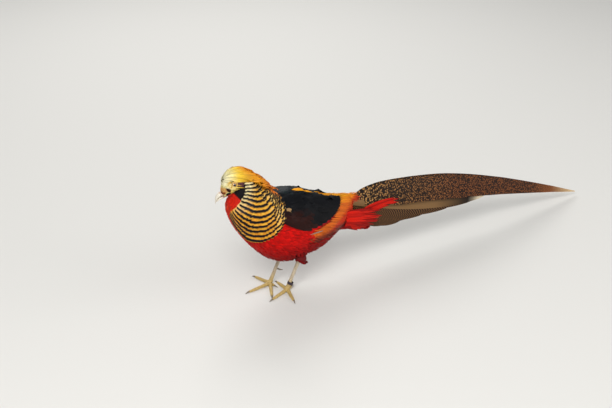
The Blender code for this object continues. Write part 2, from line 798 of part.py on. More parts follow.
# Side coverts: each lance's root and tip as place, distance from the middle, and height.
LANCES = [
    ((70, 24, 128), (180, 27, 125), 6),
    ((70, 25, 120), (168, 27.5, 115), 6.5),
    ((70, 25, 112), (162, 26.5, 94), 6.5),
    ((70, 24, 105), (140, 26, 82), 6.5),
    ((68, 23, 99), (112, 24.5, 78), 7),
]


def make_coverts():
    """The long red coverts that lie along each side of the tail's root."""
    lances = []
    for root, tip, half_width in LANCES:
        root, tip = (Vector((x, -y, z)) for x, y, z in (root, tip))
        points = []
        for t in (0, 0.33, 0.67, 1):
            bow = math.sin(math.pi * t)
            points.append(root.lerp(tip, t) + Vector((0, -3 * bow, 1.5 * bow)))
        normals = [Vector((0.05, -1, 0.12)).normalized()] * 4
        lances.append(vane(points, normals, half_width, VANE_TILT, taper=lambda t: 1 - 0.9 * t**1.6))
    line = [(58, -25, 122), (74, -22, 114), (90, -20, 106)]
    left = limb("coverts_left", line, [10, 12, 9], sides=8, steps=2)
    combine(left, lances, "UNION")
    combine(left, [torso(GAP), tail_room()], "DIFFERENCE")
    return left, mirrored(left, "coverts_right")


def covert_room():
    """The room that both pads of side coverts take."""
    line = [(50, -25, 122), (74, -22, 114), (100, -22, 104)]
    left = limb("covert_room", line, [11, 13, 11], sides=8, steps=2)
    return left, mirrored(left, "other_covert_room")


def make_undertail():
    """Red coverts under the tail's root, as a core with a few broad vanes."""
    found = loft("undertail", UNDERTAIL_STATIONS[:3], steps=1, sides=12)
    vanes = []
    for tip, turn in ((148, 180), (134, 155), (134, 205)):
        vanes.append(lying_vane(UNDERTAIL_STATIONS, (tip - 50, turn, -2), (tip, turn, 0.5), 7))
    combine(found, vanes, "UNION")
    room = [torso(GAP), tail_room(), *covert_room()]
    return combine(found, room, "DIFFERENCE")


# Legs: where each foot stands, where its hock is, and its toes' headings in degrees from straight ahead,
# positive to the bird's left, with each toe's length to the tip of its claw.
LEGS = {
    "left": {
        "foot": Vector((-50, -17, 0)),
        "hock": Vector((-23, -24, 74)),
        "toes": {"inner": (-88, 42), "middle": (20, 50), "outer": (76, 47), "hind": (-150, 24)},
    },
    "right": {
        "foot": Vector((-65, 18, 0)),
        "hock": Vector((-28, 26, 69)),
        "toes": {"inner": (64, 52), "middle": (6, 55), "outer": (-74, 46), "hind": (110, 19)},
    },
}
ANKLE_HEIGHT = 11
BAND_HEIGHT = 14
BAND_WIDTH = 5
SHANK_RADII = [3.7, 3.3, 3.4, 4.4]
SHANK_TOP = 0.86
CLAW_LENGTH = 9
TOE_RADIUS = 3.3


def toe_line(leg, heading, length):
    """Points from the foot's middle out along a toe to where its claw starts."""
    angle = math.radians(heading)
    out = Vector((-math.cos(angle), -math.sin(angle), 0))
    reach = length - CLAW_LENGTH
    points = [leg["foot"] + out * reach * t + Vector((0, 0, z))
              for t, z in ((0, 4.6), (0.3, 2.7), (0.65, 2.3), (1, 1.6))]
    return points, out


def shank_axis(leg):
    """Where the ankle's ball is, the way the leg rises from it, and where the shank meets it."""
    base = leg["foot"] + Vector((0, 0, ANKLE_HEIGHT / 2))
    rise = (leg["hock"] - base).normalized()
    return base, rise, base + rise * ANKLE_HEIGHT / 2


def shank_line(leg, extra=0):
    base, rise, ankle = shank_axis(leg)
    low = ankle + rise * (GAP - extra)
    high = ankle.lerp(leg["hock"], SHANK_TOP) + rise * extra
    return [low, low.lerp(high, 0.3), low.lerp(high, 0.7), high]


def shank_room(leg):
    return limb("shank_room", shank_line(leg, GAP), [r + GAP for r in SHANK_RADII], sides=10)


def make_foot(side, leg):
    """The ankle and four toes in one piece, flat where they stand, with a separate claw on each toe."""
    base, rise, ankle = shank_axis(leg)
    foot = limb(f"foot_{side}", [base - rise * 1.5, base + rise * 2, ankle], [4.2, 4.3, SHANK_RADII[0]],
                sides=10)
    toes, claws = [], []
    for toe, (heading, length) in leg["toes"].items():
        points, out = toe_line(leg, heading, length)
        end = points[-1]
        slim = 0.85 if toe == "hind" else 1
        radii = [TOE_RADIUS * f * slim for f in (1.15, 1, 0.9, 0.7)]
        toes.append(keep_side(limb(f"toe_{toe}", points, radii, steps=2), end - out * 0.5, out))
        line = [
            end - out * 2,
            end + out * 3 + Vector((0, 0, 0.5)),
            end + out * CLAW_LENGTH + Vector((0, 0, -1.9)),
        ]
        claw = limb(f"claw_{side}_{toe}", line, [2 * slim, 1.5 * slim, 0.25], sides=6, steps=2)
        claws.append(keep_side(claw, end - out * (0.5 - GAP), -out))
    combine(foot, toes, "UNION")
    for piece in [foot, *claws]:
        keep_side(piece, Vector((0, 0, 0)), Vector((0, 0, -1)))
    shank = limb(f"shank_{side}", shank_line(leg), SHANK_RADII, sides=10)
    combine(shank, [torso(GAP)], "DIFFERENCE")
    thigh = ball(f"thigh_{side}", leg["hock"] + Vector((-2, 0, 3)), (14, 11, 22))
    combine(thigh, [torso(GAP), shank_room(leg)], "DIFFERENCE")
    return [foot, shank, thigh, *claws]


def make_spur(side, leg):
    """A short spur on the inner back of the shank."""
    inward = 1 if side == "left" else -1
    axis = (leg["hock"] - leg["foot"]).normalized()
    middle = leg["foot"] + axis * 32
    out = (Vector((0.8, 0.6 * inward, 0)) - axis * Vector((0.8, 0.6 * inward, 0)).dot(axis)).normalized()
    start = middle + out * (SHANK_RADII[1] + GAP)
    line = [start - out * 2, start + out * 4, start + out * 9 + axis * 2]
    spur = limb(f"spur_{side}", line, [2, 1.5, 0.3], sides=6)
    return combine(spur, [shank_room(leg)], "DIFFERENCE")


def make_leg_band(leg):
    """The metal ring that the bird wears above its left foot."""
    axis = (leg["hock"] - leg["foot"]).normalized()
    low = leg["foot"] + axis * BAND_HEIGHT
    return combine(limb("leg_band", [low, low + axis * BAND_WIDTH], [5.4, 5.4], sides=16, steps=1),
                   [shank_room(leg)], "DIFFERENCE")


def build():
    body_head, body_neck, body_torso, body_rump = make_body()
    make_head(body_head)
    for found in (body_head, body_neck):
        finish(found, FACE)
    for found in (body_torso, body_rump):
        finish(found, SCARLET)
    for found in make_bill():
        finish(found, HORN)
    for found in make_eyes():
        finish(found, EYE_GLOSS)
    finish(make_crest(), GOLD)
    for found in make_cape():
        finish(found, CAPE_ORANGE)
    finish(make_mantle(), GREEN_BLACK)
    finish(make_back(), GOLD)
    for found in make_wing():
        finish(found, BLUE_BLACK)
    finish(make_tail(), TAIL_BROWN)
    for found in (*make_coverts(), make_undertail()):
        finish(found, SCARLET)
    for side, leg in LEGS.items():
        foot, shank, thigh, *claws = make_foot(side, leg)
        for found in (foot, shank):
            finish(found, LEG_SKIN)
        finish(thigh, SCARLET)
        for found in (*claws, make_spur(side, leg)):
            finish(found, CLAW_HORN)
    finish(make_leg_band(LEGS["left"]), BAND_METAL)


build()
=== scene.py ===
import math

import bmesh
import bpy
import numpy as np
from mathutils import Matrix, Vector
from mathutils.bvhtree import BVHTree


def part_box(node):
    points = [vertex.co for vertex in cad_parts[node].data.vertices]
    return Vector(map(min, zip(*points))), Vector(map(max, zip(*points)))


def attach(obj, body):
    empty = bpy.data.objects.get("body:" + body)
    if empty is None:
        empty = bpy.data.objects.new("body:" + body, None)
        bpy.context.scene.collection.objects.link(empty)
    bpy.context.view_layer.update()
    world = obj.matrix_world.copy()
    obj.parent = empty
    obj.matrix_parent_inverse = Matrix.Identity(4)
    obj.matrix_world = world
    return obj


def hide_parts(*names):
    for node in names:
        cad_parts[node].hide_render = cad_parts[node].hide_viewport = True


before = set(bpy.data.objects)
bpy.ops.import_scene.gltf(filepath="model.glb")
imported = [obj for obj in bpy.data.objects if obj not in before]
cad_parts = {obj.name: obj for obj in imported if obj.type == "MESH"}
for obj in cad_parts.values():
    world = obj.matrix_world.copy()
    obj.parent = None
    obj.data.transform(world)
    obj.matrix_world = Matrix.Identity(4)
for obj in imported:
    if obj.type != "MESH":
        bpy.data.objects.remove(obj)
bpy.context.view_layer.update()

# Skin
# A bird's skin lies under all its feathers in one piece. It is taken from the modelled body, head, neck and
# thighs, closed over their seams, smoothed and set in by the depth of the feathers that grow on it.
FLESH = ["torso", "rump", "neck", "head", "thigh_left", "thigh_right"]
MIDDLE_X = 245  # the bird is measured in millimetres from a zero on its back, 245 mm before the frame's own
rng = np.random.default_rng(7)


def bird(x, y, z):
    """A place in metres from millimetres in the bird's own frame."""
    return Vector(((x - MIDDLE_X) / 1000, y / 1000, z / 1000))


def deselect():
    bpy.ops.object.select_all(action="DESELECT")


def make_active(piece):
    deselect()
    piece.select_set(True)
    bpy.context.view_layer.objects.active = piece


def apply_modifier(piece, kind, **settings):
    make_active(piece)
    modifier = piece.modifiers.new(kind.title(), kind)
    for name, value in settings.items():
        setattr(modifier, name, value)
    bpy.ops.object.modifier_apply(modifier=modifier.name)


def join(pieces, name):
    """Several pieces as one."""
    deselect()
    for piece in pieces:
        piece.select_set(True)
    bpy.context.view_layer.objects.active = pieces[0]
    if len(pieces) > 1:
        bpy.ops.object.join()
    pieces[0].name = name
    return pieces[0]


def joined_copy(name, nodes, extra=()):
    """Copies of modelled nodes as one mesh, with their loose triangles merged."""
    copies = list(extra)
    for node in nodes:
        copied = bpy.data.objects.new(name, bpy.data.objects[node].data.copy())
        bpy.context.scene.collection.objects.link(copied)
        copied.data.materials.clear()
        copies.append(copied)
    piece = join(copies, name)
    bpy.ops.object.mode_set(mode="EDIT")
    bpy.ops.mesh.select_all(action="SELECT")
    bpy.ops.mesh.remove_doubles(threshold=0.00001)
    bpy.ops.object.mode_set(mode="OBJECT")
    return piece


def merged_copy(name, nodes, voxel, rounds, extra=()):
    """Copies of modelled nodes grown into one closed surface and smoothed."""
    piece = joined_copy(name, nodes, extra)
    apply_modifier(piece, "REMESH", mode="VOXEL", voxel_size=voxel)
    if rounds:
        apply_modifier(piece, "SMOOTH", factor=0.5, iterations=rounds)
    bpy.ops.object.shade_smooth()
    return piece


def surface_of(piece):
    """A search tree over a piece's faces."""
    shape = bmesh.new()
    shape.from_mesh(piece.data)
    tree = BVHTree.FromBMesh(shape)
    shape.free()
    return tree


def discard(piece):
    mesh = piece.data
    bpy.data.objects.remove(piece)
    bpy.data.meshes.remove(mesh)


def each_vertex(piece, what="co"):
    """The place of each vertex, or its normal."""
    values = np.empty(len(piece.data.vertices) * 3)
    piece.data.vertices.foreach_get(what, values)
    return values.reshape(-1, 3)


def move_vertices(piece, places):
    piece.data.vertices.foreach_set("co", places.ravel())
    piece.data.update()


def x_and_z(places):
    """Millimetres along the bird, and up from the floor."""
    return places[..., 0] * 1000 + MIDDLE_X, places[..., 2] * 1000


BODY_DEPTH, LESS_ON_HEAD, MORE_AT_HOCK = 0.0021, 0.0017, 0.0062
HEAD_X, HEAD_Z = (-118 - MIDDLE_X) / 1000, 0.212
HOCK_X, HOCK_Y, HOCK_Z, HOCK_REACH = -0.271, 0.025, 0.076, 0.017


def skin_depth(places):
    """Feathers are 2 mm deep on the body and a quarter of that on the head. The thigh tapers to its hock."""
    on_head = np.clip((HEAD_X - places[:, 0]) / 0.02 + (places[:, 2] - HEAD_Z) / 0.02, 0, 1)
    from_hock = np.hypot(places[:, 0] - HOCK_X, np.abs(places[:, 1]) - HOCK_Y)
    at_hock = np.clip((HOCK_Z - places[:, 2]) / 0.014, 0, 1) * (from_hock < HOCK_REACH)
    return BODY_DEPTH - LESS_ON_HEAD * on_head + MORE_AT_HOCK * at_hock


def tail_stub():
    """The fleshy end of the tail, an egg shape inside the roots of the tail's feathers."""
    bpy.ops.mesh.primitive_uv_sphere_add(segments=24, ring_count=16, radius=1, location=bird(94, 0, 134),
                                         scale=(0.03, 0.008, 0.014))
    bpy.ops.object.transform_apply(location=True, rotation=True, scale=True)
    return bpy.context.active_object


skin = merged_copy("skin", FLESH, 0.0014, 3, [tail_stub()])
skin_places = each_vertex(skin)
move_vertices(skin, skin_places - each_vertex(skin, "normal") * skin_depth(skin_places)[:, None])


def linear(hex_value):
    """sRGB hex to linear colour."""
    channels = [int(hex_value[i:i + 2], 16) / 255 for i in (0, 2, 4)]
    return np.array([c / 12.92 if c < 0.04045 else ((c + 0.055) / 1.055) ** 2.4 for c in channels])


def new_material(name, roughness, specular=0.5):
    """A material whose fixed numbers sit on its own shader."""
    made = bpy.data.materials.new(name)
    made.use_nodes = True
    shader = made.node_tree.nodes["Principled BSDF"]
    shader.inputs["Roughness"].default_value = roughness
    shader.inputs["Specular IOR Level"].default_value = specular
    return made, made.node_tree, shader


def node(tree, kind, settings=None, **links):
    """Adds a node with its settings, and links or sets its inputs by name or number."""
    added = tree.nodes.new("ShaderNode" + kind)
    for name, value in (settings or {}).items():
        setattr(added, name, value)
    for name, value in links.items():
        key = int(name[1:]) if name[0] == "_" and name[1:].isdigit() else name.replace("_", " ")
        if isinstance(value, bpy.types.NodeSocket):
            tree.links.new(value, added.inputs[key])
        else:
            added.inputs[key].default_value = value
    return added


def ramp(tree, factor, stops):
    """A colour ramp from places and colours; a colour may be one number."""
    added = node(tree, "ValToRGB", Fac=factor)
    elements = added.color_ramp.elements
    while len(elements) < len(stops):
        elements.new(0.5)
    for element, (place, value) in zip(elements, stops):
        element.position = place
        value = linear(value) if isinstance(value, str) else (value,) * 3
        element.color = (*value, 1)
    return added.outputs["Color"]


def mix(tree, factor, a, b, blend="MIX"):
    """Two colours mixed. Each is a socket or a hex value."""
    added = node(tree, "Mix", {"data_type": "RGBA", "blend_type": blend})
    for socket, value in ((added.inputs["Factor"], factor), (added.inputs[6], a), (added.inputs[7], b)):
        if isinstance(value, bpy.types.NodeSocket):
            tree.links.new(value, socket)
        else:
            socket.default_value = (*linear(value), 1) if isinstance(value, str) else value
    return added.outputs[2]


def finish(tree, shader, colour, height=None, strength=0.0, depth=0.0):
    """Links a material's colour and, where its surface has relief, that relief's height."""
    tree.links.new(colour, shader.inputs["Base Color"])
    if height is not None:
        bump = node(tree, "Bump", Height=height, Strength=strength, Distance=depth)
        tree.links.new(bump.outputs["Normal"], shader.inputs["Normal"])


SCARLET, CRIMSON, ORANGE_RED = linear("D00A04"), linear("780306"), linear("D8330A")
GOLD, LEMON = linear("EE9E12"), linear("F2D23C")


def blend(a, b, share):
    share = np.clip(share, 0, 1)[..., None]
    return a * (1 - share) + b * share


def body_colour(places):
    """Throat orange-red, breast scarlet, belly and flank darker, rump golden above and red below."""
    x, z = x_and_z(places)
    colour = blend(SCARLET, CRIMSON, (118 - z) / 60 + (x + 60) / 160 * 0.4)
    colour = blend(colour, ORANGE_RED, (z - 150) / 40 * np.clip((-110 - x) / 20, 0, 1))
    golden = np.clip((x - 15) / 20, 0, 1) * np.clip((z - 128 + (x - 60) * 0.3) / 12, 0, 1)
    colour = blend(colour, blend(GOLD, ORANGE_RED, (x - 60) / 30), golden)
    return blend(colour, linear("5A3A20"), (x - 100) / 6)


EYE_MIDDLE, HEAD_PIVOT = Vector((-147, 0, 228)), Vector((-125, 0, 0))
HEAD_PITCH, HEAD_TURN = math.radians(28), math.radians(8)
forward = Vector((-math.cos(HEAD_PITCH), 0, -math.sin(HEAD_PITCH)))
upward = Vector((-math.sin(HEAD_PITCH), 0, math.cos(HEAD_PITCH)))
HEAD_FRAME = (Matrix.Translation(HEAD_PIVOT) @ Matrix.Rotation(-HEAD_TURN, 4, "Z")
              @ Matrix.Translation(EYE_MIDDLE - HEAD_PIVOT)
              @ Matrix((forward, upward.cross(forward), upward)).transposed().to_4x4())
TO_HEAD = np.array(HEAD_FRAME.inverted())


def in_head(places):
    """Places as millimetres forward, to the left and up from the middle of the head."""
    found = (places * 1000 + (MIDDLE_X, 0, 0)) @ TO_HEAD[:3, :3].T + TO_HEAD[:3, 3]
    return np.moveaxis(found, -1, 0)


def spot(a, u, middle_a, middle_u, radius_a, radius_u):
    """1 inside an oval on the side of the head, 0 outside it, with a soft edge."""
    return np.clip((1.15 - np.hypot((a - middle_a) / radius_a, (u - middle_u) / radius_u)) / 0.3, 0, 1)


FACE_YELLOW, CREAM, BILL_ORANGE = linear("E6AE1C"), linear("F2E49A"), linear("E0801A")
MAROON, EAR_BROWN, CHEEK_BLACK = linear("340609"), linear("6A4040"), linear("0C0609")
THROAT_RED, GAPE_SHADOW, LAPPET_LEMON = linear("D4200A"), linear("0A1210"), linear("F0E07E")


def face_colour(places):
    """Cream forehead, yellow round the eye, maroon lores, brown ear, black cheek and red throat."""
    a, s, u = in_head(places)
    colour = blend(FACE_YELLOW, CREAM, (a - 3 + u * 0.3) / 7)
    colour = blend(colour, BILL_ORANGE, spot(a, u, 16, -2, 6, 4.5) * 0.6)
    colour = blend(colour, linear("9A4A1C"), spot(a, u, 19, -6, 3, 2.4))
    colour = blend(colour, EAR_BROWN, np.clip((-7.5 - a) / 2, 0, 1) * np.clip((0.5 - u) / 2, 0, 1))
    throat = np.clip((a - 5 - (u + 14) * 0.2) / 1.5, 0, 1) * np.clip((-12 - u) / 1.5, 0, 1)
    cheek_top = -9.5 + 5 * np.clip((1 - a) / 4, 0, 1)
    colour = blend(colour, CHEEK_BLACK, np.clip((cheek_top - u) / 1.5, 0, 1) * np.clip((8 - a) / 2, 0, 1))
    colour = blend(colour, EAR_BROWN, spot(a, u, -12.5, -5.5, 6.5, 6) * 0.85)
    colour = blend(colour, THROAT_RED, throat)
    colour = blend(colour, MAROON, spot(a, u, 9.5, -3, 3, 5))
    # The corner of the mouth is painted near black: painted shadow in the gape.
    colour = blend(colour, GAPE_SHADOW, spot(a, u, 13.5, -10.5, 4.5, 3))
    return blend(colour, LAPPET_LEMON, spot(a, u, 4.5, -8, 2.4, 4.4))


def head_share(places):
    """1 on the head and the top of the throat, 0 on the body."""
    x, z = x_and_z(places)
    return np.clip((z - 198 - (x + 128) * 0.36) / 3, 0, 1) * (x < -90)


def coat_colour(places):
    return blend(body_colour(places), face_colour(places), head_share(places))


def paint(piece, colours):
    """Stores a colour for each vertex, with any painted shade in it."""
    layer = piece.data.attributes.new("dye_and_shade", "FLOAT_COLOR", "POINT")
    layer.data.foreach_set("color", np.concatenate([colours, np.ones((len(colours), 1))], 1).ravel())


DOWN_TUFT = 2.5  # millimetres
# The skin takes the coat's colour darkened to 0.7: painted shade for what shows between the feathers.
paint(skin, coat_colour(each_vertex(skin)) * 0.7)
# Skin and down are matt, and darker than the feathers, so that what shows between them reads as shade.
skin_material, tree, shader = new_material("feathered_skin", 0.75, 0.3)
dye_and_shade = node(tree, "Attribute", {"attribute_name": "dye_and_shade"}).outputs["Color"]
down = node(tree, "TexNoise", Scale=1000 / DOWN_TUFT, Detail=3.0).outputs["Fac"]
shaded = mix(tree, 1.0, dye_and_shade, ramp(tree, down, [(0.3, 0.7), (0.7, 1.0)]), "MULTIPLY")
finish(tree, shader, shaded, down, 0.4, 0.0006)
skin.data.materials.append(skin_material)
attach(skin, "root")
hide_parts(*FLESH)

skin_tree = surface_of(skin)


# Body feathers
# Small contour feathers cover breast, belly, flank and thigh, each a thin blade that lies back over the next.
# They grow from the skin in close rows, and their tips stand a little proud.
def feather_mesh(name, paths, normals, half_widths, colours, shape, across=(-1, 0, 1), camber=0.25,
                 thickness=0.0003, tilt=0.0, strips=False, reach=None):
    """Joins many closed blades: paths and normals are arrays of feather, step and coordinate.
    Long vanes get a strip each on the bake map, and reach says how much of its pattern a blade shows."""
    count, steps, _ = paths.shape
    along = np.gradient(paths, axis=1)
    along /= np.linalg.norm(along, axis=2, keepdims=True) + 1e-12
    normals = normals - along * np.sum(normals * along, 2, keepdims=True)
    normals /= np.linalg.norm(normals, axis=2, keepdims=True) + 1e-12
    side = np.cross(along, normals)
    tilt = np.broadcast_to(np.asarray(tilt, float), (count,))[:, None, None]
    side = side * np.cos(tilt) + normals * np.sin(tilt)
    t = np.linspace(0, 1, steps)
    width = half_widths[:, None] * shape(t)[None, :]
    ring = [(u, 1) for u in across] + [(u, -1) for u in across[-2:0:-1]]
    vertices = np.empty((count, steps, len(ring), 3))
    for k, (u, face) in enumerate(ring):
        thick = thickness * (1 - abs(u)) * face / 2 * (1 - 0.7 * t)[None, :, None]
        vertices[:, :, k] = (paths + side * (width * u)[..., None]
                             - normals * (width * abs(u) * camber)[..., None] + normals * thick)
    size = len(ring)
    grid = np.arange(count * steps * size).reshape(count, steps, size)
    nxt = np.roll(grid, -1, axis=2)
    quads = np.stack([grid[:, :-1], nxt[:, :-1], nxt[:, 1:], grid[:, 1:]], -1).reshape(-1, 4)[:, ::-1]
    caps_low, caps_high = grid[:, 0], grid[:, -1, ::-1]
    mesh = bpy.data.meshes.new(name)
    loops = np.concatenate([quads.ravel(), caps_low.ravel(), caps_high.ravel()])
    sizes = np.concatenate([np.full(len(quads), 4), np.full(2 * count, size)])
    mesh.vertices.add(count * steps * size)
    mesh.vertices.foreach_set("co", vertices.ravel())
    mesh.loops.add(len(loops))
    mesh.loops.foreach_set("vertex_index", loops.astype(np.int32))
    mesh.polygons.add(len(sizes))
    mesh.polygons.foreach_set("loop_start", np.concatenate([[0], np.cumsum(sizes)[:-1]]).astype(np.int32))
    mesh.update(calc_edges=True)
    mesh.validate()
    piece = bpy.data.objects.new(name, mesh)
    bpy.context.scene.collection.objects.link(piece)

    local = np.empty((count, steps, size, 2))
    local[..., 0] = np.array([u for u, _ in ring])[None, None, :] * 0.5 + 0.5
    local[..., 1] = t[None, :, None]
    if strips:
        bake = local.copy()
        bake[..., 0] = (np.arange(count)[:, None, None] + 0.05 + 0.9 * local[..., 0]) / count
    else:
        bake = around_body(paths[:, 0])[:, None, None] + (local - 0.5) * 0.003
    if reach is not None:
        local[..., 1] *= reach[:, None, None]
    corner = np.empty(len(mesh.loops), np.int32)
    mesh.loops.foreach_get("vertex_index", corner)
    for title, values in (("OFBake", bake.reshape(-1, 2)), ("blade", local.reshape(-1, 2))):
        layer = mesh.uv_layers.new(name=title)
        layer.data.foreach_set("uv", values[corner].ravel())
    if colours.ndim == 2:
        colours = np.repeat(colours[:, None], steps, 1)
    paint(piece, np.repeat(colours[:, :, None], size, 2).reshape(-1, 3))
    make_active(piece)
    bpy.ops.object.shade_smooth_by_angle(angle=math.radians(50))
    return piece


def around_body(places):
    """An unwrap of the body round its long axis, spread over most of the map."""
    angle = np.arctan2(places[:, 1], places[:, 2] - 0.13)
    flat = np.stack([places[:, 0], angle], 1)
    low, high = flat.min(0), flat.max(0)
    return 0.02 + 0.96 * (flat - low) / np.maximum(high - low, 1e-6)


def leaf(t):
    """A contour feather: broad past its middle, with a round tip."""
    return np.where(t < 0.6, 0.35 + 0.65 * np.sin(t / 0.6 * math.pi / 2),
                    np.sqrt(np.clip(1.01 - ((t - 0.6) / 0.41) ** 2, 0, 1)))


def hair(t):
    """A narrow lock: even, then drawn out to a point."""
    return np.clip(1.05 - t ** 3, 0.05, 1) * (0.6 + 0.4 * np.sin(np.clip(t * 4, 0, 1) * math.pi / 2))


def lay(surface, roots, flow, lengths, steps, low, high):
    """Paths that keep to a surface: each starts at its root, follows the flow and rises from low to high."""
    paths, normals = np.empty((len(roots), steps, 3)), np.empty((len(roots), steps, 3))
    high = np.broadcast_to(high, len(roots))
    for i, root in enumerate(roots):
        place = Vector(root)
        for k in range(steps):
            found, normal, _, _ = surface.find_nearest(place)
            t = k / (steps - 1)
            paths[i, k] = found + normal * (low + (high[i] - low) * t)
            normals[i, k] = normal
            way = flow(found, normal)
            way -= normal * way.dot(normal)
            way.normalize()
            place = found + way * lengths[i] / (steps - 1)
    return paths, normals


NEXT_CELLS = [(dx, dy, dz) for dx in (-1, 0, 1) for dy in (-1, 0, 1) for dz in (-1, 0, 1)]


def scatter(piece, spacing, keep):
    """Even random places on a piece's faces, no two closer than the spacing."""
    piece.data.calc_loop_triangles()
    places = each_vertex(piece)[np.array([t.vertices[:] for t in piece.data.loop_triangles])]
    area = np.linalg.norm(np.cross(places[:, 1] - places[:, 0], places[:, 2] - places[:, 0]), axis=1)
    draws = int(area.sum() / (spacing * spacing) * 3)
    chosen = rng.choice(len(area), draws, p=area / area.sum())
    a, b = rng.random((2, draws, 1))
    flip = a + b > 1
    a, b = np.where(flip, 1 - a, a), np.where(flip, 1 - b, b)
    p = places[chosen]
    found = p[:, 0] + (p[:, 1] - p[:, 0]) * a + (p[:, 2] - p[:, 0]) * b
    found = found[keep(found)]
    taken, kept = {}, []
    for place in found:
        cell = tuple((place // spacing).astype(int))
        near = (taken.get((cell[0] + dx, cell[1] + dy, cell[2] + dz)) for dx, dy, dz in NEXT_CELLS)
        if all(other is None or np.sum((other - place) ** 2) >= spacing * spacing for other in near):
            taken[cell] = place
            kept.append(place)
    return np.array(kept)


NODE_TREES = {name: surface_of(bpy.data.objects[name]) for name in (
    "torso", "neck", "head", "thigh_left", "thigh_right", "wing_left", "wing_right", "mantle", "cape_left",
    "cape_right", "crest", "undertail")}


def under(places, nodes, reach):
    """Which places lie within reach of some modelled nodes."""
    return np.array([any(NODE_TREES[name].find_nearest(Vector(place), reach)[0] is not None for name in nodes)
                     for place in places])


def body_flow(place, normal):
    x, z = place.x * 1000 + MIDDLE_X, place.z * 1000
    if x < -110 and z > 208:
        return Vector((1, 0, -0.2))
    if x < -95 and z > 180:
        return Vector((0.5, 0, -1))
    if z < 85 and abs(normal.z) < 0.8 and -60 < x < 10:
        return Vector((0.3, 0, -1))
    return Vector((1, 0, -0.35))


def loose_share(places):
    """Above 0 where the loose hair-like feathers of lower back and rump grow."""
    x, z = x_and_z(places)
    front = np.interp(z, (90, 120, 150), (-26, -18, 8))
    low = np.interp(x, (-24, 10, 30, 60, 96), (92, 80, 76, 82, 98))
    return np.minimum(np.minimum(x - front, 97 - x), z - low)


# Place along the body, its top and bottom above the floor, and half its width, in millimetres.
BODY_LINE = [(-153, 184, 184, 10), (-147, 201, 154, 25), (-128, 207, 120, 40), (-98, 203, 84, 49),
             (-60, 195, 62, 52), (-18, 186.5, 58, 49), (22, 168, 68, 41), (56, 157, 87, 29),
             (100, 150, 100, 15)]
WING_EDGE = [(-88, 66), (-71, 69), (-46, 76), (-31, 82), (-20, 90), (0, 89), (27, 81), (42, 72), (51, 60),
             (60, 38), (66, 12)]


def read_line(line, x, column):
    """One column of a list of rows at x, where x is their first column."""
    return np.interp(x, [row[0] for row in line], [row[column] for row in line])


def wing_low(x):
    """How far round the body the wing's lower edge lies, in degrees from the top."""
    return read_line(WING_EDGE, x, 1)


def below_wing(places):
    """Above 0 below and behind the folded wing, in degrees round the body."""
    x, z = x_and_z(places)
    top, bottom, half = (read_line(BODY_LINE, x, n) for n in (1, 2, 3))
    turn = np.degrees(np.arctan2(np.abs(places[:, 1]) * 1000 / half, (z * 2 - top - bottom) / (top - bottom)))
    return np.where((x > 66) | (x < -90), 90, turn - wing_low(x))


def on_body(places):
    return ((head_share(places) == 0) & (places[:, 0] * 1000 + MIDDLE_X < 86) & (loose_share(places) < 4)
            & (below_wing(places) > -8))


BODY_SPACING, BODY_RISE, BELLY_RISE = 0.0038, 0.0026, 0.0036
body_roots = scatter(skin, BODY_SPACING, on_body)
body_roots = body_roots[~under(body_roots, ["mantle", "cape_left", "cape_right"], 0.0025)]
x, z = x_and_z(body_roots)
belly = np.clip((104 - z) / 26, 0, 1) * np.clip((-10 - x) / 20, 0, 1) * (z > 55)
belly[under(body_roots, ["thigh_left", "thigh_right"], 0.003)] = 0
body_lengths = rng.uniform(0.011, 0.014, len(body_roots)) + 0.003 * belly
body_rise = BODY_RISE + BELLY_RISE * belly
paths, normals = lay(skin_tree, body_roots, body_flow, body_lengths, 5, 0.0002, body_rise)
tints = body_colour(paths) * rng.uniform(0.7, 1.15, (len(paths), 1, 1))
# Each feather's root is darkened to half: painted shade where it lies under the feather before it.
tints[:, 0] *= 0.5
body_widths = rng.uniform(0.0022, 0.0028, len(paths))
body_coat = feather_mesh("body_feathers", paths, normals, body_widths, tints, leaf)


def stripes(tree, place, count):
    """A soft wave from 0 to 1, repeated along a blade."""
    turns = node(tree, "Math", {"operation": "MULTIPLY"}, _0=place, _1=count * 6.283)
    wave = node(tree, "Math", {"operation": "SINE"}, _0=turns.outputs[0])
    return node(tree, "MapRange", Value=wave.outputs[0], From_Min=-1.0, From_Max=1.0).outputs[0]


def plumage(name, roughness, barb_scale, specular=0.15):
    """Feather finish: the dye of each blade, with its painted shade, and slanting barbs on both sides of its
    shaft. Real barbs are finer than a pixel, so each is drawn as coarse as barb_scale to a blade, to show at
    all."""
    made, tree, shader = new_material(name, roughness, specular)
    dye_and_shade = node(tree, "Attribute", {"attribute_name": "dye_and_shade"}).outputs["Color"]
    parts = node(tree, "SeparateXYZ", Vector=node(tree, "UVMap", {"uv_map": "blade"}).outputs["UV"])
    from_shaft = node(tree, "Math", {"operation": "SUBTRACT"}, _0=parts.outputs["X"], _1=0.5)
    side = node(tree, "Math", {"operation": "ABSOLUTE"}, _0=from_shaft.outputs[0])
    slant = node(tree, "Math", {"operation": "MULTIPLY_ADD"}, _0=side.outputs[0], _1=-0.5,
                 _2=parts.outputs["Y"])
    barbs = ramp(tree, stripes(tree, slant.outputs[0], barb_scale), [(0.0, 0.72), (0.6, 1.0)])
    colour = mix(tree, 1.0, dye_and_shade, barbs, "MULTIPLY")
    finish(tree, shader, colour)
    return made, tree, shader, colour, parts, side.outputs[0]


# Keratin vanes with red dye: matt, deep in colour, and with hardly any shine.
red_vanes = plumage("scarlet_feather", 0.62, 9.0, 0.12)[0]
body_coat.data.materials.append(red_vanes)
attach(body_coat, "root")

# Flank feathers
# Longer soft feathers hang back from flank and thigh and fill the line from the leg to the tail's root.


def on_flank(places):
    x, z = x_and_z(places)
    return (x > -34) & (x < 62) & (z < 98) & (z > 74)


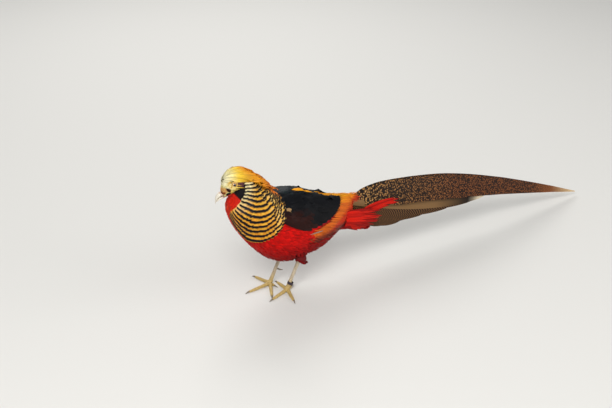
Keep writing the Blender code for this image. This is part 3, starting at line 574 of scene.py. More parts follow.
FLANK_SPACING, FLANK_RISE = 0.0042, 0.0052
flank_roots = scatter(skin, FLANK_SPACING, on_flank)
flank_lengths = rng.uniform(0.018, 0.028, len(flank_roots))
paths, normals = lay(skin_tree, flank_roots, lambda place, normal: Vector((1, 0, -0.1)), flank_lengths, 6,
                     0.0002, FLANK_RISE)
x = x_and_z(paths[:, :1])[0]
tints = blend(linear("8A0806"), linear("5A1408"), x / 50 + rng.uniform(-0.3, 0.3, (len(paths), 1)))
# Each feather is darkened to half at its root and lightened a little at its tip: painted shade where the
# feathers lie over one another.
tints = np.repeat(tints, 6, 1) * np.linspace(0.5, 1.15, 6)[None, :, None]
flank_widths = rng.uniform(0.0018, 0.0026, len(paths))
flank_coat = feather_mesh("flank_feathers", paths, normals, flank_widths, tints, leaf)
flank_coat.data.materials.append(red_vanes)
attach(flank_coat, "root")


# Face feathers
# The smallest feathers of all cover the face and throat, each a few millimetres long and laid back from the
# bill. They leave bare the ring round each eye, the little lappet below it and the corner of the mouth.
def on_face(places):
    a, s, u = in_head(places)
    bare = (np.hypot(a + 3, u) < 6.2) | (np.hypot((a - 4.5) / 2.4, (u + 8) / 4.2) < 1)
    bare |= np.hypot((a - 14) / 4, (u + 10.5) / 1.6) < 1
    return (head_share(places) > 0) & (a < 20.3) & ~(bare & (np.abs(s) > 6))


def face_flow(place, normal):
    a, s, u = in_head(np.array(place))
    if u < -15:
        return Vector((0.3, 0, -1))
    return HEAD_FRAME.to_3x3() @ Vector((-1, 0, -0.35 if u < 4 else 0.1))


FACE_SPACING, FACE_RISE, FACE_SLENDERNESS = 0.00105, 0.0008, 0.24
face_roots = scatter(skin, FACE_SPACING, on_face)
face_roots = face_roots[~under(face_roots, ["crest", "cape_left", "cape_right"], 0.0012)]
a, s, u = in_head(face_roots)
face_lengths = 0.0026 + 0.003 * np.clip((u - 3) / 9, 0, 1) + 0.003 * np.clip((-15 - u) / 12, 0, 1)
face_lengths *= rng.uniform(0.85, 1.15, len(face_roots))
paths, normals = lay(skin_tree, face_roots, face_flow, face_lengths, 4, 0.0001, FACE_RISE)
tints = face_colour(paths) * rng.uniform(0.72, 1.12, (len(paths), 1, 1))
# Each feather's root is darkened: painted shade where the feathers lie over one another.
tints[:, 0] *= 0.6
face_coat = feather_mesh("face_feathers", paths, normals, face_lengths * FACE_SLENDERNESS, tints, leaf)
face_coat.data.materials.append(plumage("face_feather", 0.6, 5.0)[0])  # short and velvety, so quite matt
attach(face_coat, "root")

# Lids
# A ring of bare yellow skin, fine with small bumps, folds round each eye and meets the feathers of the face.
LID_RADIUS, LID_FOLD, LID_WRINKLE = 0.0049, 0.0011, 0.012


def from_head(a, s, u):
    return bird(*(HEAD_FRAME @ Vector((a, s, u))))


def facing_out(side):
    """The way that an eye faces, and the turn that points Z that way."""
    outward = (HEAD_FRAME.to_3x3() @ Vector((0, side, 0))).normalized()
    return outward, outward.to_track_quat("Z", "Y").to_matrix().to_4x4()


lids = []
for side in (-1, 1):
    bpy.ops.mesh.primitive_torus_add(major_radius=LID_RADIUS, minor_radius=LID_FOLD, major_segments=72,
                                     minor_segments=18)
    lid = bpy.context.active_object
    for vert in lid.data.vertices:
        round_ring = math.atan2(vert.co.y, vert.co.x)
        round_fold = math.atan2(vert.co.z, math.hypot(vert.co.x, vert.co.y) - LID_RADIUS)
        vert.co *= 1 + LID_WRINKLE * math.sin(round_ring * 31) * math.sin(round_fold * 5)
    lid.data.transform(Matrix.Translation(from_head(-3, side * 14.3, 0)) @ facing_out(side)[1])
    lids.append(lid)
lids = join(lids, "lids")
bpy.ops.object.shade_smooth()
# Bare skin is half matt, with pale bumps 0.7 mm apart over a deeper yellow.
lid_skin, tree, shader = new_material("bare_lid_skin", 0.55, 0.4)
here = node(tree, "TexCoord").outputs["Object"]
grain = node(tree, "TexVoronoi", {"feature": "F1"}, Vector=here, Scale=1400.0).outputs["Distance"]
finish(tree, shader, ramp(tree, grain, [(0.2, "EBCB78"), (0.7, "B98A34")]), grain, 0.5, 0.0002)
lids.data.materials.append(lid_skin)
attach(lids, "root")

# Eyes
# Each eye is a wet ball: a round dark pupil in a pale tan iris, under a clear cornea that bulges a little.
PUPIL, IRIS = math.radians(26), math.radians(50)
CORNEA_BULGE, CORNEA_RADIUS = 0.0005, 0.0042
eyes, eye_places = [], []
for side, name in ((1, "eye_left"), (-1, "eye_right")):
    low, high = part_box(name)
    outward, turned = facing_out(side)
    bpy.ops.mesh.primitive_uv_sphere_add(segments=48, ring_count=36, radius=(high.z - low.z) / 2)
    eye = bpy.context.active_object
    for vert in eye.data.vertices:
        if vert.co.z > 0:
            vert.co.z += CORNEA_BULGE * max(0, 1 - math.hypot(vert.co.x, vert.co.y) / CORNEA_RADIUS)
    eye.data.transform(Matrix.Translation((low + high) / 2) @ turned)
    eyes.append(eye)
    eye_places.append((np.array((low + high) / 2), np.array(outward)))
eyes = join(eyes, "eyes")
bpy.ops.object.shade_smooth()
# The wet cornea is a clear glossy coat over each colour. The iris has fine streaks about 1 mm long.
for name, base in (("tan_iris", "C99A5A"), ("dark_pupil", "0A0504"), ("dark_eyeball", "2A1810")):
    material, tree, shader = new_material(name, 0.12)
    shader.inputs["Coat Weight"].default_value = 1.0
    shader.inputs["Coat Roughness"].default_value = 0.03
    streaks = node(tree, "TexNoise", Vector=node(tree, "TexCoord").outputs["Object"], Scale=900.0, Detail=3.0)
    shade = ramp(tree, streaks.outputs["Fac"], [(0.35, 0.55), (0.65, 1.0)])
    finish(tree, shader, mix(tree, 1.0, base, shade, "MULTIPLY"))
    eyes.data.materials.append(material)
for face in eyes.data.polygons:
    middle = np.array(face.center)
    centre, outward = min(eye_places, key=lambda place: np.linalg.norm(middle - place[0]))
    way = (middle - centre) / np.linalg.norm(middle - centre)
    angle = math.acos(np.clip(way @ outward, -1, 1))
    face.material_index = 1 if angle < PUPIL else 0 if angle < IRIS else 2
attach(eyes, "root")
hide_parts("eye_left", "eye_right")


# Bill
# Pale horn covers both halves of the bill. The upper one is hooked over the lower, with a nostril slit on
# each side near its pinkish base, and the horn shows fine growth streaks along its length.
def fine_copy(name, nodes, levels):
    """Copies of modelled nodes with their facets rounded off."""
    piece = joined_copy(name, nodes)
    bpy.ops.object.mode_set(mode="EDIT")
    bpy.ops.mesh.select_all(action="SELECT")
    bpy.ops.mesh.tris_convert_to_quads()
    bpy.ops.object.mode_set(mode="OBJECT")
    apply_modifier(piece, "SUBSURF", levels=levels, render_levels=levels)
    bpy.ops.object.shade_smooth()
    return piece


def bill_colour(places):
    a, s, u = in_head(places)
    colour = blend(linear("CFA08A"), linear("E6DECC"), (a - 21) / 5)
    # Grey-brown below a line along the bill, at half strength: painted shadow under the cutting edge of the
    # upper half.
    colour = blend(colour, linear("94857A"), np.clip((-12.4 - u + (a - 24) * -0.25) / 1.5, 0, 1) * 0.5)
    return blend(colour, linear("D6CDBE"), (a - 34) / 7)


BILL_ROOT, BILL_LENGTH, BILL_ARCH, BILL_DRAWN_IN = 21, 21, 2.4, 0.9


def arch(place):
    """Draws the bill in a little, and bends its ridge up before the hooked tip."""
    a, s, u = in_head(np.array(place))
    share = min(1, max(0.0, (a - BILL_ROOT) / BILL_LENGTH))
    return from_head(BILL_ROOT + (a - BILL_ROOT) * BILL_DRAWN_IN if a > BILL_ROOT else a, s,
                     u + BILL_ARCH * math.sin(math.pi * share))


for name in ("bill_upper", "bill_lower"):
    bill = fine_copy(name + "_horn", [name], 2)
    for vert in bill.data.vertices:
        vert.co = arch(vert.co)
    paint(bill, bill_colour(each_vertex(bill)))
    # Horn is worn to half a gloss. Its growth streaks are 3 mm long and 0.7 mm apart.
    horn, tree, shader = new_material(name + "_pale_horn", 0.36, 0.45)
    dye_and_shade = node(tree, "Attribute", {"attribute_name": "dye_and_shade"}).outputs["Color"]
    along = node(tree, "Mapping", Vector=node(tree, "TexCoord").outputs["Object"], Scale=(300, 1400, 300))
    streaks = node(tree, "TexNoise", Vector=along.outputs[0], Scale=1.0, Detail=4.0).outputs["Fac"]
    streaked = mix(tree, 1.0, dye_and_shade, ramp(tree, streaks, [(0.3, 0.78), (0.65, 1.0)]), "MULTIPLY")
    finish(tree, shader, streaked, streaks, 0.25, 0.0001)
    bill.data.materials.append(horn)
    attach(bill, "root")
    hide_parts(name)

# Wings
# Each folded wing shows small shoulder coverts, three rows of larger coverts, then the long flight feathers.
# All are stiff blades lying over one another from the shoulder back, blue-black above and dark brown below.
WING_NODES = ["wing_left", "wing_right", "mantle", "lower_back"]
over_wings = merged_copy("over_wings", FLESH + WING_NODES, 0.0016, 9, [tail_stub()])
wing_tree = surface_of(over_wings)


def seen_at(surface, x, turn, side):
    """The point and normal of a surface at a place along the body and a turn from its top down one side."""
    top, bottom, half = (read_line(BODY_LINE, x, n) for n in (1, 2, 3))
    angle = math.radians(turn)
    out = Vector((0, side * half * math.sin(angle), (top - bottom) / 2 * math.cos(angle))).normalized()
    centre = bird(x, 0, (top + bottom) / 2)
    found, normal, _, _ = surface.ray_cast(centre + out * 0.2, -out)
    return found, normal


def rows_over(surface, rows, steps):
    """Paths of listed feathers, each with the place and turn of its root and tip, its side, and its root's
    and its tip's height over the surface."""
    paths, normals = np.empty((len(rows), steps, 3)), np.empty((len(rows), steps, 3))
    for i, (x0, turn0, x1, turn1, side, low, high) in enumerate(rows):
        for k in range(steps):
            t = k / (steps - 1)
            found, normal = seen_at(surface, x0 + (x1 - x0) * t, turn0 + (turn1 - turn0) * t, side)
            paths[i, k] = found + normal * (low + (high - low) * t)
            normals[i, k] = normal
    return paths, normals


BLUE_BLACK, WING_BROWN = linear("06070C"), linear("2A0D08")
wing_rows, wing_widths, wing_colours = [], [], []


def wing_colour(x, turn):
    """Blue-black, going maroon-brown low at the front, with a few tan tips where scapulars meet the cape."""
    if -62 < x < -54 and 50 < turn < 55:
        return linear("9A7850")
    return blend(BLUE_BLACK, WING_BROWN, np.array((turn - 50) / 12 * np.clip((4 - x) / 24, 0, 1)))


def add_wing_feather(root, tip, side, low, high, width):
    wing_rows.append((*root, *tip, side, low, high))
    wing_widths.append(width)
    wing_colours.append(wing_colour(*tip))


# The outer edge of the longest flight feathers, from the back down: place and turn of their tips.
FLIGHT_TIPS = [(0, 66, 16), (0.15, 63, 33), (0.3, 57, 50), (0.5, 46, 64), (0.7, 28, 74), (0.85, 6, 81),
               (1, -18, 86)]
for side in (-1, 1):
    for row in range(6):
        for k in range(11):
            x = -88 + 9 * row - (k / 10) ** 2 * 8
            turn = 22 + (wing_low(x) - 31) * (k + 0.5 * (row % 2)) / 10.5
            width = 0.0062 if wing_colour(x, turn)[0] < 0.1 else 0.0036
            add_wing_feather((x - 18, turn), (x, turn), side, -0.0016, 0.0002 + 0.0001 * row, width)
    for length, reach, sweep in ((36, -24, 20), (46, 2, 26), (52, 26, 30)):
        for k in range(11):
            x = reach - (k / 10) ** 2 * sweep
            turn = 17 + (wing_low(x) - 25) * k / 10
            root = (x - length, min(turn + 3, wing_low(x - length) - 9))
            add_wing_feather(root, (x, turn), side, -0.0017, 0.0005, 0.007)
    for k in range(14):
        x, turn = (read_line(FLIGHT_TIPS, k / 13, n) for n in (1, 2))
        root = (x - 88, min(26 + (turn - 17) * 0.72, wing_low(x - 88) - 12))
        add_wing_feather(root, (x, turn), side, -0.002, 0.0004, 0.0085 - 0.0002 * k)
    for k in range(4):
        add_wing_feather((-30 + 8 * k, 22), (30 + 9 * k, 17), side, -0.002, 0.0008, 0.0068)
add_wing_feather((-22, 93), (6, 92), -1, 0.0006, 0.0018, 0.0011)
wing_colours[-1] = linear("8C8278")  # one pale shaft that shows below the near wing
paths, normals = rows_over(wing_tree, wing_rows, 7)
wing_sides = np.array([row[4] for row in wing_rows])
tints = np.array(wing_colours) * rng.uniform(0.75, 1.2, (len(wing_rows), 1))
wing_coat = feather_mesh("wing_feathers", paths, normals, np.array(wing_widths), tints, leaf,
                         across=(-1, -0.5, 0, 0.5, 1), camber=0.18, thickness=0.0005, tilt=wing_sides * 0.1)
# Stiff close vanes are smoother than body feathers, and so dark that they only just gleam.
wing_coat.data.materials.append(plumage("wing_feather", 0.5, 26.0, 0.12)[0])
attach(wing_coat, "root")
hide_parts("wing_left", "wing_right")

# Mantle
# The upper back between the wings wears short rounded feathers like scales, dark green edged with black.
mantle_rows = []
for row in range(14):
    for k in range(9):
        x, turn = -88 + 8.6 * row, (k - 4 + 0.5 * (row % 2)) * (6.8 - 0.3 * row)
        side = -1 if turn < 0 else 1
        mantle_rows.append((x - 18, abs(turn), x, abs(turn), side, -0.0014, 0.0003))
paths, normals = rows_over(wing_tree, mantle_rows, 5)
tints = linear("0A1618") * rng.uniform(0.6, 1.3, (len(mantle_rows), 1))
mantle_coat = feather_mesh("mantle_feathers", paths, normals, np.full(len(mantle_rows), 0.0058), tints, leaf,
                           across=(-1, -0.5, 0, 0.5, 1), camber=0.15)
# Smooth dark vanes with a low gleam, each rimmed in black on its sides and tip.
mantle_vanes, tree, shader, colour, parts, side = plumage("mantle_feather", 0.45, 12.0)
edge = ramp(tree, side, [(0.3, 0.0), (0.45, 1.0)])
tip = ramp(tree, parts.outputs["Y"], [(0.82, 0.0), (0.94, 1.0)])
finish(tree, shader, mix(tree, mix(tree, 1.0, edge, tip, "LIGHTEN"), colour, "0D1018"))
mantle_coat.data.materials.append(mantle_vanes)
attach(mantle_coat, "root")
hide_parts("mantle")

# Lower back and rump
# Long loose golden feathers cover the back behind the mantle, fine as hair, and run to red beside the tail.
def nearest_is(places, wanted, others):
    """Which places lie nearer to some modelled nodes than to others."""
    def away(place, names):
        return min(NODE_TREES[name].find_nearest(Vector(place))[3] for name in names)
    return np.array([away(place, wanted) < away(place, others) for place in places])


def back_flow(place, normal):
    return Vector((1, 0, -0.12 - 0.5 * max(0.0, (0.14 - place.z) / 0.04)))


BACK_SPACING = 0.0025
back_roots = scatter(over_wings, BACK_SPACING, lambda places: loose_share(places) > 0)
x = x_and_z(back_roots)[0]
strip = np.abs(back_roots[:, 1]) < 0.006 * np.clip((x - 4) / 40, 0, 1)
back_roots = back_roots[(below_wing(back_roots) > -3) | strip]
x = x_and_z(back_roots)[0]
back_lengths = rng.uniform(0.02, 0.028, len(back_roots)) - 0.011 * (x > 80)
paths, normals = lay(wing_tree, back_roots, back_flow, back_lengths, 6, -0.0008, 0.0016 + 0.001 * (x > 76))
x, z = x_and_z(paths)
strand = rng.random((len(paths), 1))
tints = blend(GOLD, linear("D8640E"), (153 - z) / 11 + strand * 0.5 - 0.25)
tints = blend(tints, linear("CC3206"), (142 - z) / 10 + (x - 84) / 20)
flank_tints = blend(linear("9A3008"), linear("4A0E06"), strand)
tints = blend(tints, flank_tints, (113 - z) / 10 * np.clip((76 - x) / 20, 0, 1))
tints *= rng.uniform(0.72, 1.15, (len(paths), 1, 1))
# Each feather's root is darkened to half: painted shade where the feathers lie over one another.
tints[:, 0] *= 0.5
# A few gold feathers also part the mantle in front, where the near wing lifts off it.
streak_rows = [(-34 + 3 * abs(k - 2), 6 + 1.4 * k, -4 + 3 * k, 7.5 + 1.4 * k, -1, 0.0004, 0.0022)
               for k in range(5)]
streak_paths, streak_normals = rows_over(wing_tree, streak_rows, 6)
paths, normals = np.concatenate([paths, streak_paths]), np.concatenate([normals, streak_normals])
tints = np.concatenate([tints, np.tile(GOLD, (len(streak_rows), 6, 1))])
back_widths = rng.uniform(0.0009, 0.0014, len(paths))
back_coat = feather_mesh("back_feathers", paths, normals, back_widths, tints, hair)
# Loose barbs without hooks lie like hair, with a soft shine.
back_coat.data.materials.append(plumage("golden_feather", 0.5, 8.0, 0.2)[0])
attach(back_coat, "root")
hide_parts("lower_back")

# Cape
# Broad square-ended feathers fan round the neck in rows. Each ends in a blue-black bar, so that the rows
# draw dark rings over the gold, and they reach forward to the cheeks and leave the throat open.
CAPE_RINGS, CAPE_ACROSS, BLADE_REACH = 13, 38, 0.28
FAR_SIDE_REACH = 0.74  # the cape is drawn round towards the left, so its far half ends short of the throat
# Bearing round the neck in degrees from the nape and height in millimetres, from nape to throat.
CAPE_NECK = [(18, 224), (30, 226), (44, 228), (58, 229), (71, 230), (83, 230), (94, 230), (104, 230),
             (113, 230), (121, 230), (128, 230), (133, 230)]
CAPE_MIDDLE = [(15, 213), (28, 211), (42, 208), (55, 204), (68, 200), (80, 198), (92, 198), (103, 199),
               (113, 201), (122, 203), (130, 204), (137, 204)]
CAPE_MARGIN = [(10, 200), (17, 193), (28, 185), (41, 171), (53, 153), (67, 136), (90, 127), (112, 126),
               (130, 129), (150, 141), (166, 156), (176, 171)]
MIDDLE_AT = 0.38  # how far down the cape its middle line lies
CAPE_GRID = (50, 30)


def cape_spot(across, down):
    """Bearing and height on the cape, from nape to throat and from neck to margin."""
    spot = across * (len(CAPE_MARGIN) - 1)
    neck, middle, margin = (np.array([np.interp(spot, range(12), column) for column in zip(*line)])
                            for line in (CAPE_NECK, CAPE_MIDDLE, CAPE_MARGIN))
    m = MIDDLE_AT
    return (neck * (down - m) * (down - 1) / m + middle * down * (down - 1) / (m * (m - 1))
            + margin * down * (down - m) / (1 - m))


over_cape = merged_copy("over_cape", FLESH + WING_NODES + ["cape_left", "cape_right"], 0.0016, 12)
cape_tree = surface_of(over_cape)


def cape_surface(side):
    """The cape's outer face on one side: places and normals on an even grid, with its steps smoothed away."""
    axis, outward, far = np.empty((*CAPE_GRID, 3)), np.empty((*CAPE_GRID, 3)), np.empty(CAPE_GRID)
    for i, across in enumerate(np.linspace(0, 1, CAPE_GRID[0])):
        for j, down in enumerate(np.linspace(0, 1, CAPE_GRID[1])):
            bearing, height = cape_spot(across, down)
            angle = math.radians(bearing * (1 if side < 0 else FAR_SIDE_REACH))
            out, middle = Vector((math.cos(angle), side * math.sin(angle), 0)), bird(-112, 0, height)
            found = cape_tree.ray_cast(middle + out * 0.15, -out)[0]
            found = found or cape_tree.find_nearest(middle + out * 0.03)[0]
            axis[i, j], outward[i, j], far[i, j] = middle, out, (found - middle).dot(out)
    for _ in range(8):
        wide = np.pad(far, 1, mode="edge")
        far = sum(wide[i:i + CAPE_GRID[0], j:j + CAPE_GRID[1]] for i in range(3) for j in range(3)) / 9
    places = axis + outward * (far + 0.0006)[..., None]
    normals = np.cross(np.gradient(places, axis=0), np.gradient(places, axis=1))
    normals *= np.sign(np.sum(normals * outward, 2, keepdims=True))
    return places, normals / np.linalg.norm(normals, axis=2, keepdims=True)


def read_grid(grid, across, down):
    """Values between a grid's points."""
    i, j = np.clip(across, 0, 0.9999) * (CAPE_GRID[0] - 1), np.clip(down, 0, 0.9999) * (CAPE_GRID[1] - 1)
    a, b = i.astype(int), j.astype(int)
    u, v = (i - a)[..., None], (j - b)[..., None]
    return ((grid[a, b] * (1 - v) + grid[a, b + 1] * v) * (1 - u)
            + (grid[a + 1, b] * (1 - v) + grid[a + 1, b + 1] * v) * u)


rows, ranks = np.meshgrid(np.arange(CAPE_RINGS), np.arange(CAPE_ACROSS), indexing="ij")
cape_across = ((ranks + 0.5 * (rows % 2)) / (CAPE_ACROSS - 0.5)).ravel()
cape_down = (rows.ravel() + 1) / CAPE_RINGS
cape_across, cape_down = np.tile(cape_across, 2), np.tile(cape_down, 2)
cape_down = cape_down + rng.uniform(-0.007, 0.007, len(cape_down)) * (1 + 2 * (cape_across < 0.45))
t = np.linspace(0, 1, 7)
along_down = np.clip(cape_down[:, None] - BLADE_REACH * (1 - t), 0, 1)
along_across = np.broadcast_to(cape_across[:, None], along_down.shape)
half = len(cape_across) // 2
cape_paths, cape_normals = np.empty((2 * half, 7, 3)), np.empty((2 * half, 7, 3))
for n, side in enumerate((-1, 1)):
    own = slice(n * half, (n + 1) * half)
    places, facing = cape_surface(side)
    cape_normals[own] = read_grid(facing, along_across[own], along_down[own])
    cape_paths[own] = read_grid(places, along_across[own], along_down[own])
cape_paths += cape_normals * (-0.003 + 0.0038 * t)[None, :, None]
gold_share = rng.random(len(cape_across)) * 0.7 + (cape_down - 0.6) * 0.6
cream_share = (cape_across - 0.6) / 0.35 + (0.3 - cape_down) * 2 * (cape_across > 0.5)
tints = blend(blend(linear("EDB23A"), linear("E08A1C"), gold_share), linear("F2DFA4"), cream_share)
pale_share = np.clip((0.5 - cape_across) / 0.2, 0, 1) * rng.random(len(cape_across)) * 0.8
tints = blend(tints, linear("F0D486"), pale_share)
tints = blend(tints, linear("D9701A"), (0.2 - cape_across) / 0.12)
tints *= rng.uniform(0.8, 1.1, (len(tints), 1))


def square(t):
    """A cape feather: widening steadily to a broad, nearly square end."""
    return ((0.4 + 0.6 * np.sin(np.clip(t / 0.75, 0, 1) * math.pi / 2))
            * np.sqrt(np.clip(1.02 - np.clip((t - 0.86) / 0.145, 0, 1) ** 2, 0, 1)))


cape_sides = np.repeat([-1, 1], half)
cape_widths = 0.0034 + 0.0022 * cape_down
cape_coat = feather_mesh("cape_feathers", cape_paths, cape_normals, cape_widths, tints, square,
                         across=(-1, -0.5, 0, 0.5, 1), camber=0.1, tilt=cape_sides * 0.08,
                         reach=np.where(cape_across < 0.1, 0.8, 1.0))
# Broad flat vanes, half matt, each with a blue-black bar near its end.
cape_vanes, tree, shader, colour, parts, side = plumage("barred_cape_feather", 0.5, 10.0)
bar = ramp(tree, parts.outputs["Y"], [(0.83, 0.0), (0.86, 1.0), (0.965, 1.0), (0.99, 0.3)])
finish(tree, shader, mix(tree, bar, colour, "06070E"))
cape_coat.data.materials.append(cape_vanes)
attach(cape_coat, "root")
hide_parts("cape_left", "cape_right")

# Crest
# Silky golden plumes spring from the forehead and crown and lie back over the nape as fine tapering locks.
over_crest = merged_copy("over_crest", FLESH + ["cape_left", "cape_right", "crest"], 0.0014, 4)
crest_tree = surface_of(over_crest)


def crown(places):
    x = x_and_z(places)[0]
    return (x > -168) & (x < -84) & (places[:, 2] > 0.2)


CREST_SPACING, CREST_END = 0.0018, -64
crest_roots = scatter(over_crest, CREST_SPACING, crown)
crest_roots = crest_roots[nearest_is(crest_roots, ["crest"], ["head", "cape_left", "cape_right", "neck"])]
a, s, u = in_head(crest_roots)
crest_roots = crest_roots[(u > 3.5) | (a > -2) | (a < -26)]  # none on the ear
room = (CREST_END - MIDDLE_X) / 1000 - crest_roots[:, 0]
crest_lengths = np.clip(rng.uniform(0.028, 0.042, len(crest_roots)), 0.01, room * 1.25 + 0.006)
paths, normals = lay(crest_tree, crest_roots, lambda place, normal: Vector((1, 0, -0.25)), crest_lengths, 7,
                     -0.0008, 0.001)
x, z = x_and_z(paths)
tints = blend(linear("F0E8BC"), LEMON, (x + 158) / 20)
tints = blend(tints, GOLD, (x + 146) / 34)
on_top = np.clip((z - 247 + (x + 130) * 0.45) / 8, 0, 1) * np.clip((x + 138) / 14, 0, 1)
tints = blend(tints, linear("EE9014"), on_top)
tints = blend(tints, linear("DE7412"), (x + 104) / 26) * rng.uniform(0.7, 1.14, (len(paths), 1, 1))
# Each plume's root is darkened: painted shade where the plumes lie over one another.
tints[:, 0] *= 0.75
crest_widths = rng.uniform(0.0009, 0.0014, len(paths))
crest_coat = feather_mesh("crest_plumes", paths, normals, crest_widths, tints, hair)
# Silky plumes are the shiniest of the coat, though still soft.
crest_coat.data.materials.append(plumage("golden_silk_plume", 0.42, 6.0, 0.3)[0])
for guide in (over_wings, over_cape, over_crest):
    discard(guide)
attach(crest_coat, "root")
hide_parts("crest")

# Tail
# Two very long middle feathers meet in a ridge like a roof, and shorter ones are stepped below on each side.
# The middle pair is dark brown mottled with cinnamon and gold, the others have slanting dark bars.
RIDGE = [(96, 142), (124, 155), (159, 158), (228, 151), (299, 140), (375, 120), (454, 94), (523, 69),
         (600, 39), (670, 10)]
TAIL_ROOT, TAIL_TIP, HALF_VANE = 96, 670, 25
ROOF_SLOPE = math.radians(66)
TAIL_STEPS = 60


def ridge(t):
    """Places along and heights of the tail's ridge, from its root at 0 to its tip at 1."""
    return (np.interp(t, np.linspace(0, 1, len(RIDGE)), column) for column in zip(*RIDGE))


def central(share):
    """A middle feather's width along the tail: soon at its full width, and tapering from a third back."""
    widening = 0.45 + 0.55 * np.sin(math.pi / 2 * np.clip(share / 0.2, 0, 1))
    return widening * (1 - np.clip((share - 0.35) / 0.65, 0, 1) ** 1.3 * 0.97)


def central_along(t):
    """The same width at t along the feather's path, whose steps are uneven."""
    x, _ = ridge(t)
    return central((x - TAIL_ROOT) / (TAIL_TIP - TAIL_ROOT))


tail_paths, tail_normals = [], []
for side in (-1, 1):
    x, z = ridge(np.linspace(0, 1, TAIL_STEPS))
    for _ in range(3):
        z[1:-1] = (z[:-2] + z[1:-1] + z[2:]) / 3
    half = HALF_VANE * central((x - TAIL_ROOT) / (TAIL_TIP - TAIL_ROOT))
    y = side * (0.5 + half * math.cos(ROOF_SLOPE))
    tail_paths.append(np.stack([x - MIDDLE_X, y, z - half * math.sin(ROOF_SLOPE)], 1) / 1000)
    tail_normals.append(np.tile((0, side * math.sin(ROOF_SLOPE), math.cos(ROOF_SLOPE)), (TAIL_STEPS, 1)))
tail_tints = blend(linear("B4854E"), linear("8E522A"), np.linspace(-0.4, 2.4, TAIL_STEPS))
tail_tints = blend(tail_tints, linear("E0C090"), np.linspace(-8.5, 1.1, TAIL_STEPS))
middle_tail = feather_mesh("middle_tail_feathers", np.array(tail_paths), np.array(tail_normals),
                           np.full(2, HALF_VANE / 1000), np.tile(tail_tints, (2, 1, 1)), central_along,
                           across=np.linspace(-1, 1, 13), camber=0.08, thickness=0.0012, strips=True)
# Long stiff vanes, half matt, with cinnamon spots on dark brown that close up towards the tip.
tail_brown, tree, shader, colour, parts, side = plumage("mottled_tail_feather", 0.55, 160.0)
here = node(tree, "TexCoord").outputs["Object"]
SPOTS_APART = (3.5, 2.4)  # millimetres, near the root and towards the tip
coarse, fine = (node(tree, "TexVoronoi", {"feature": "F1"}, Vector=here,
                     Scale=1000 / apart).outputs["Distance"] for apart in SPOTS_APART)
rearward = ramp(tree, parts.outputs["Y"], [(0.1, 0.0), (0.45, 1.0)])
spots = ramp(tree, mix(tree, rearward, coarse, fine), [(0.3, 0.0), (0.48, 1.0)])
fading = ramp(tree, parts.outputs["Y"], [(0.0, 1.0), (0.8, 0.95), (0.9, 0.25), (1.0, 0.1)])
dark = mix(tree, 1.0, spots, fading, "MULTIPLY")
finish(tree, shader, mix(tree, dark, colour, "170D08"))
middle_tail.data.materials.append(tail_brown)
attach(middle_tail, "root")
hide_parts("tail")

# Side feathers of the tail
# Nine stepped feathers hang under each side of the middle pair. They are brown with slanting dark bars, and
# the longest has a plain pale brown vane that shows below the middle feathers.
SIDE_STEPS = 24
# Each one's tip: place along, height, half the vane's width, and distance from the middle, in millimetres.
SIDE_FEATHERS = [(402, 74, 13, 13.5), (372, 71, 11, 12.8), (336, 78, 13, 12), (318, 72, 12, 11.2),
                 (300, 75, 12, 10.5), (262, 74, 12, 9.8), (232, 76, 12, 9), (206, 73, 12, 8.2),
                 (184, 77, 11, 7.5)]
side_paths, side_normals, side_widths = [], [], []
for side in (-1, 1):
    for n, (end, height, half, out) in enumerate(SIDE_FEATHERS):
        root, tip = Vector((94, side * (out - 4.5), 134 - 3.2 * n)), Vector((end, side * out, height))
        path = []
        for t in np.linspace(0, 1, SIDE_STEPS):
            bow = math.sin(math.pi * t)
            path.append(bird(*(root.lerp(tip, t) + Vector((0, side * 4 * bow * (1 - t), -7 * bow)))))
        side_paths.append(path)
        side_normals.append(np.tile((0.0, side, 0.25), (SIDE_STEPS, 1)))
        side_widths.append(half / 1000)
side_paths, side_normals, side_widths = np.array(side_paths), np.array(side_normals), np.array(side_widths)
longest = np.arange(len(side_paths)) % len(SIDE_FEATHERS) == 0


def side_vanes(name, which, tints):
    return feather_mesh(name, side_paths[which], side_normals[which], side_widths[which], tints, leaf,
                        across=np.linspace(-1, 1, 7), camber=0.05, thickness=0.0009, strips=True)


side_tail = side_vanes("side_tail_feathers", ~longest, np.tile(linear("75512F"), (np.sum(~longest), 1)))
t = np.linspace(0, 1, SIDE_STEPS)
pale = blend(blend(linear("80603C"), linear("1E130E"), (t - 0.6) / 0.25), linear("D8C6A8"), (t - 0.9) / 0.04)
long_tail = side_vanes("longest_side_feathers", longest, np.tile(pale, (2, 1, 1)))
# Both kinds are long stiff vanes, half matt: one plain pale brown, the others barred in near black.
long_tail.data.materials.append(plumage("plain_tail_feather", 0.5, 110.0)[0])
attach(long_tail, "root")

BARS, BAR_LEAN, BAR_WOBBLE = 46, 0.09, 0.012
barred_brown, tree, shader, colour, parts, side = plumage("barred_tail_feather", 0.5, 110.0)
slant = node(tree, "Math", {"operation": "MULTIPLY_ADD"}, _0=side, _1=-BAR_LEAN, _2=parts.outputs["Y"])
wobble = node(tree, "TexNoise", Scale=260.0, Detail=2.0)
shifted = node(tree, "Math", {"operation": "MULTIPLY_ADD"}, _0=wobble.outputs["Fac"], _1=BAR_WOBBLE,
               _2=slant.outputs[0])
bars = ramp(tree, stripes(tree, shifted.outputs[0], BARS), [(0.45, 1.0), (0.75, 0.0)])
finish(tree, shader, mix(tree, bars, colour, "140B08"))
side_tail.data.materials.append(barred_brown)
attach(side_tail, "root")

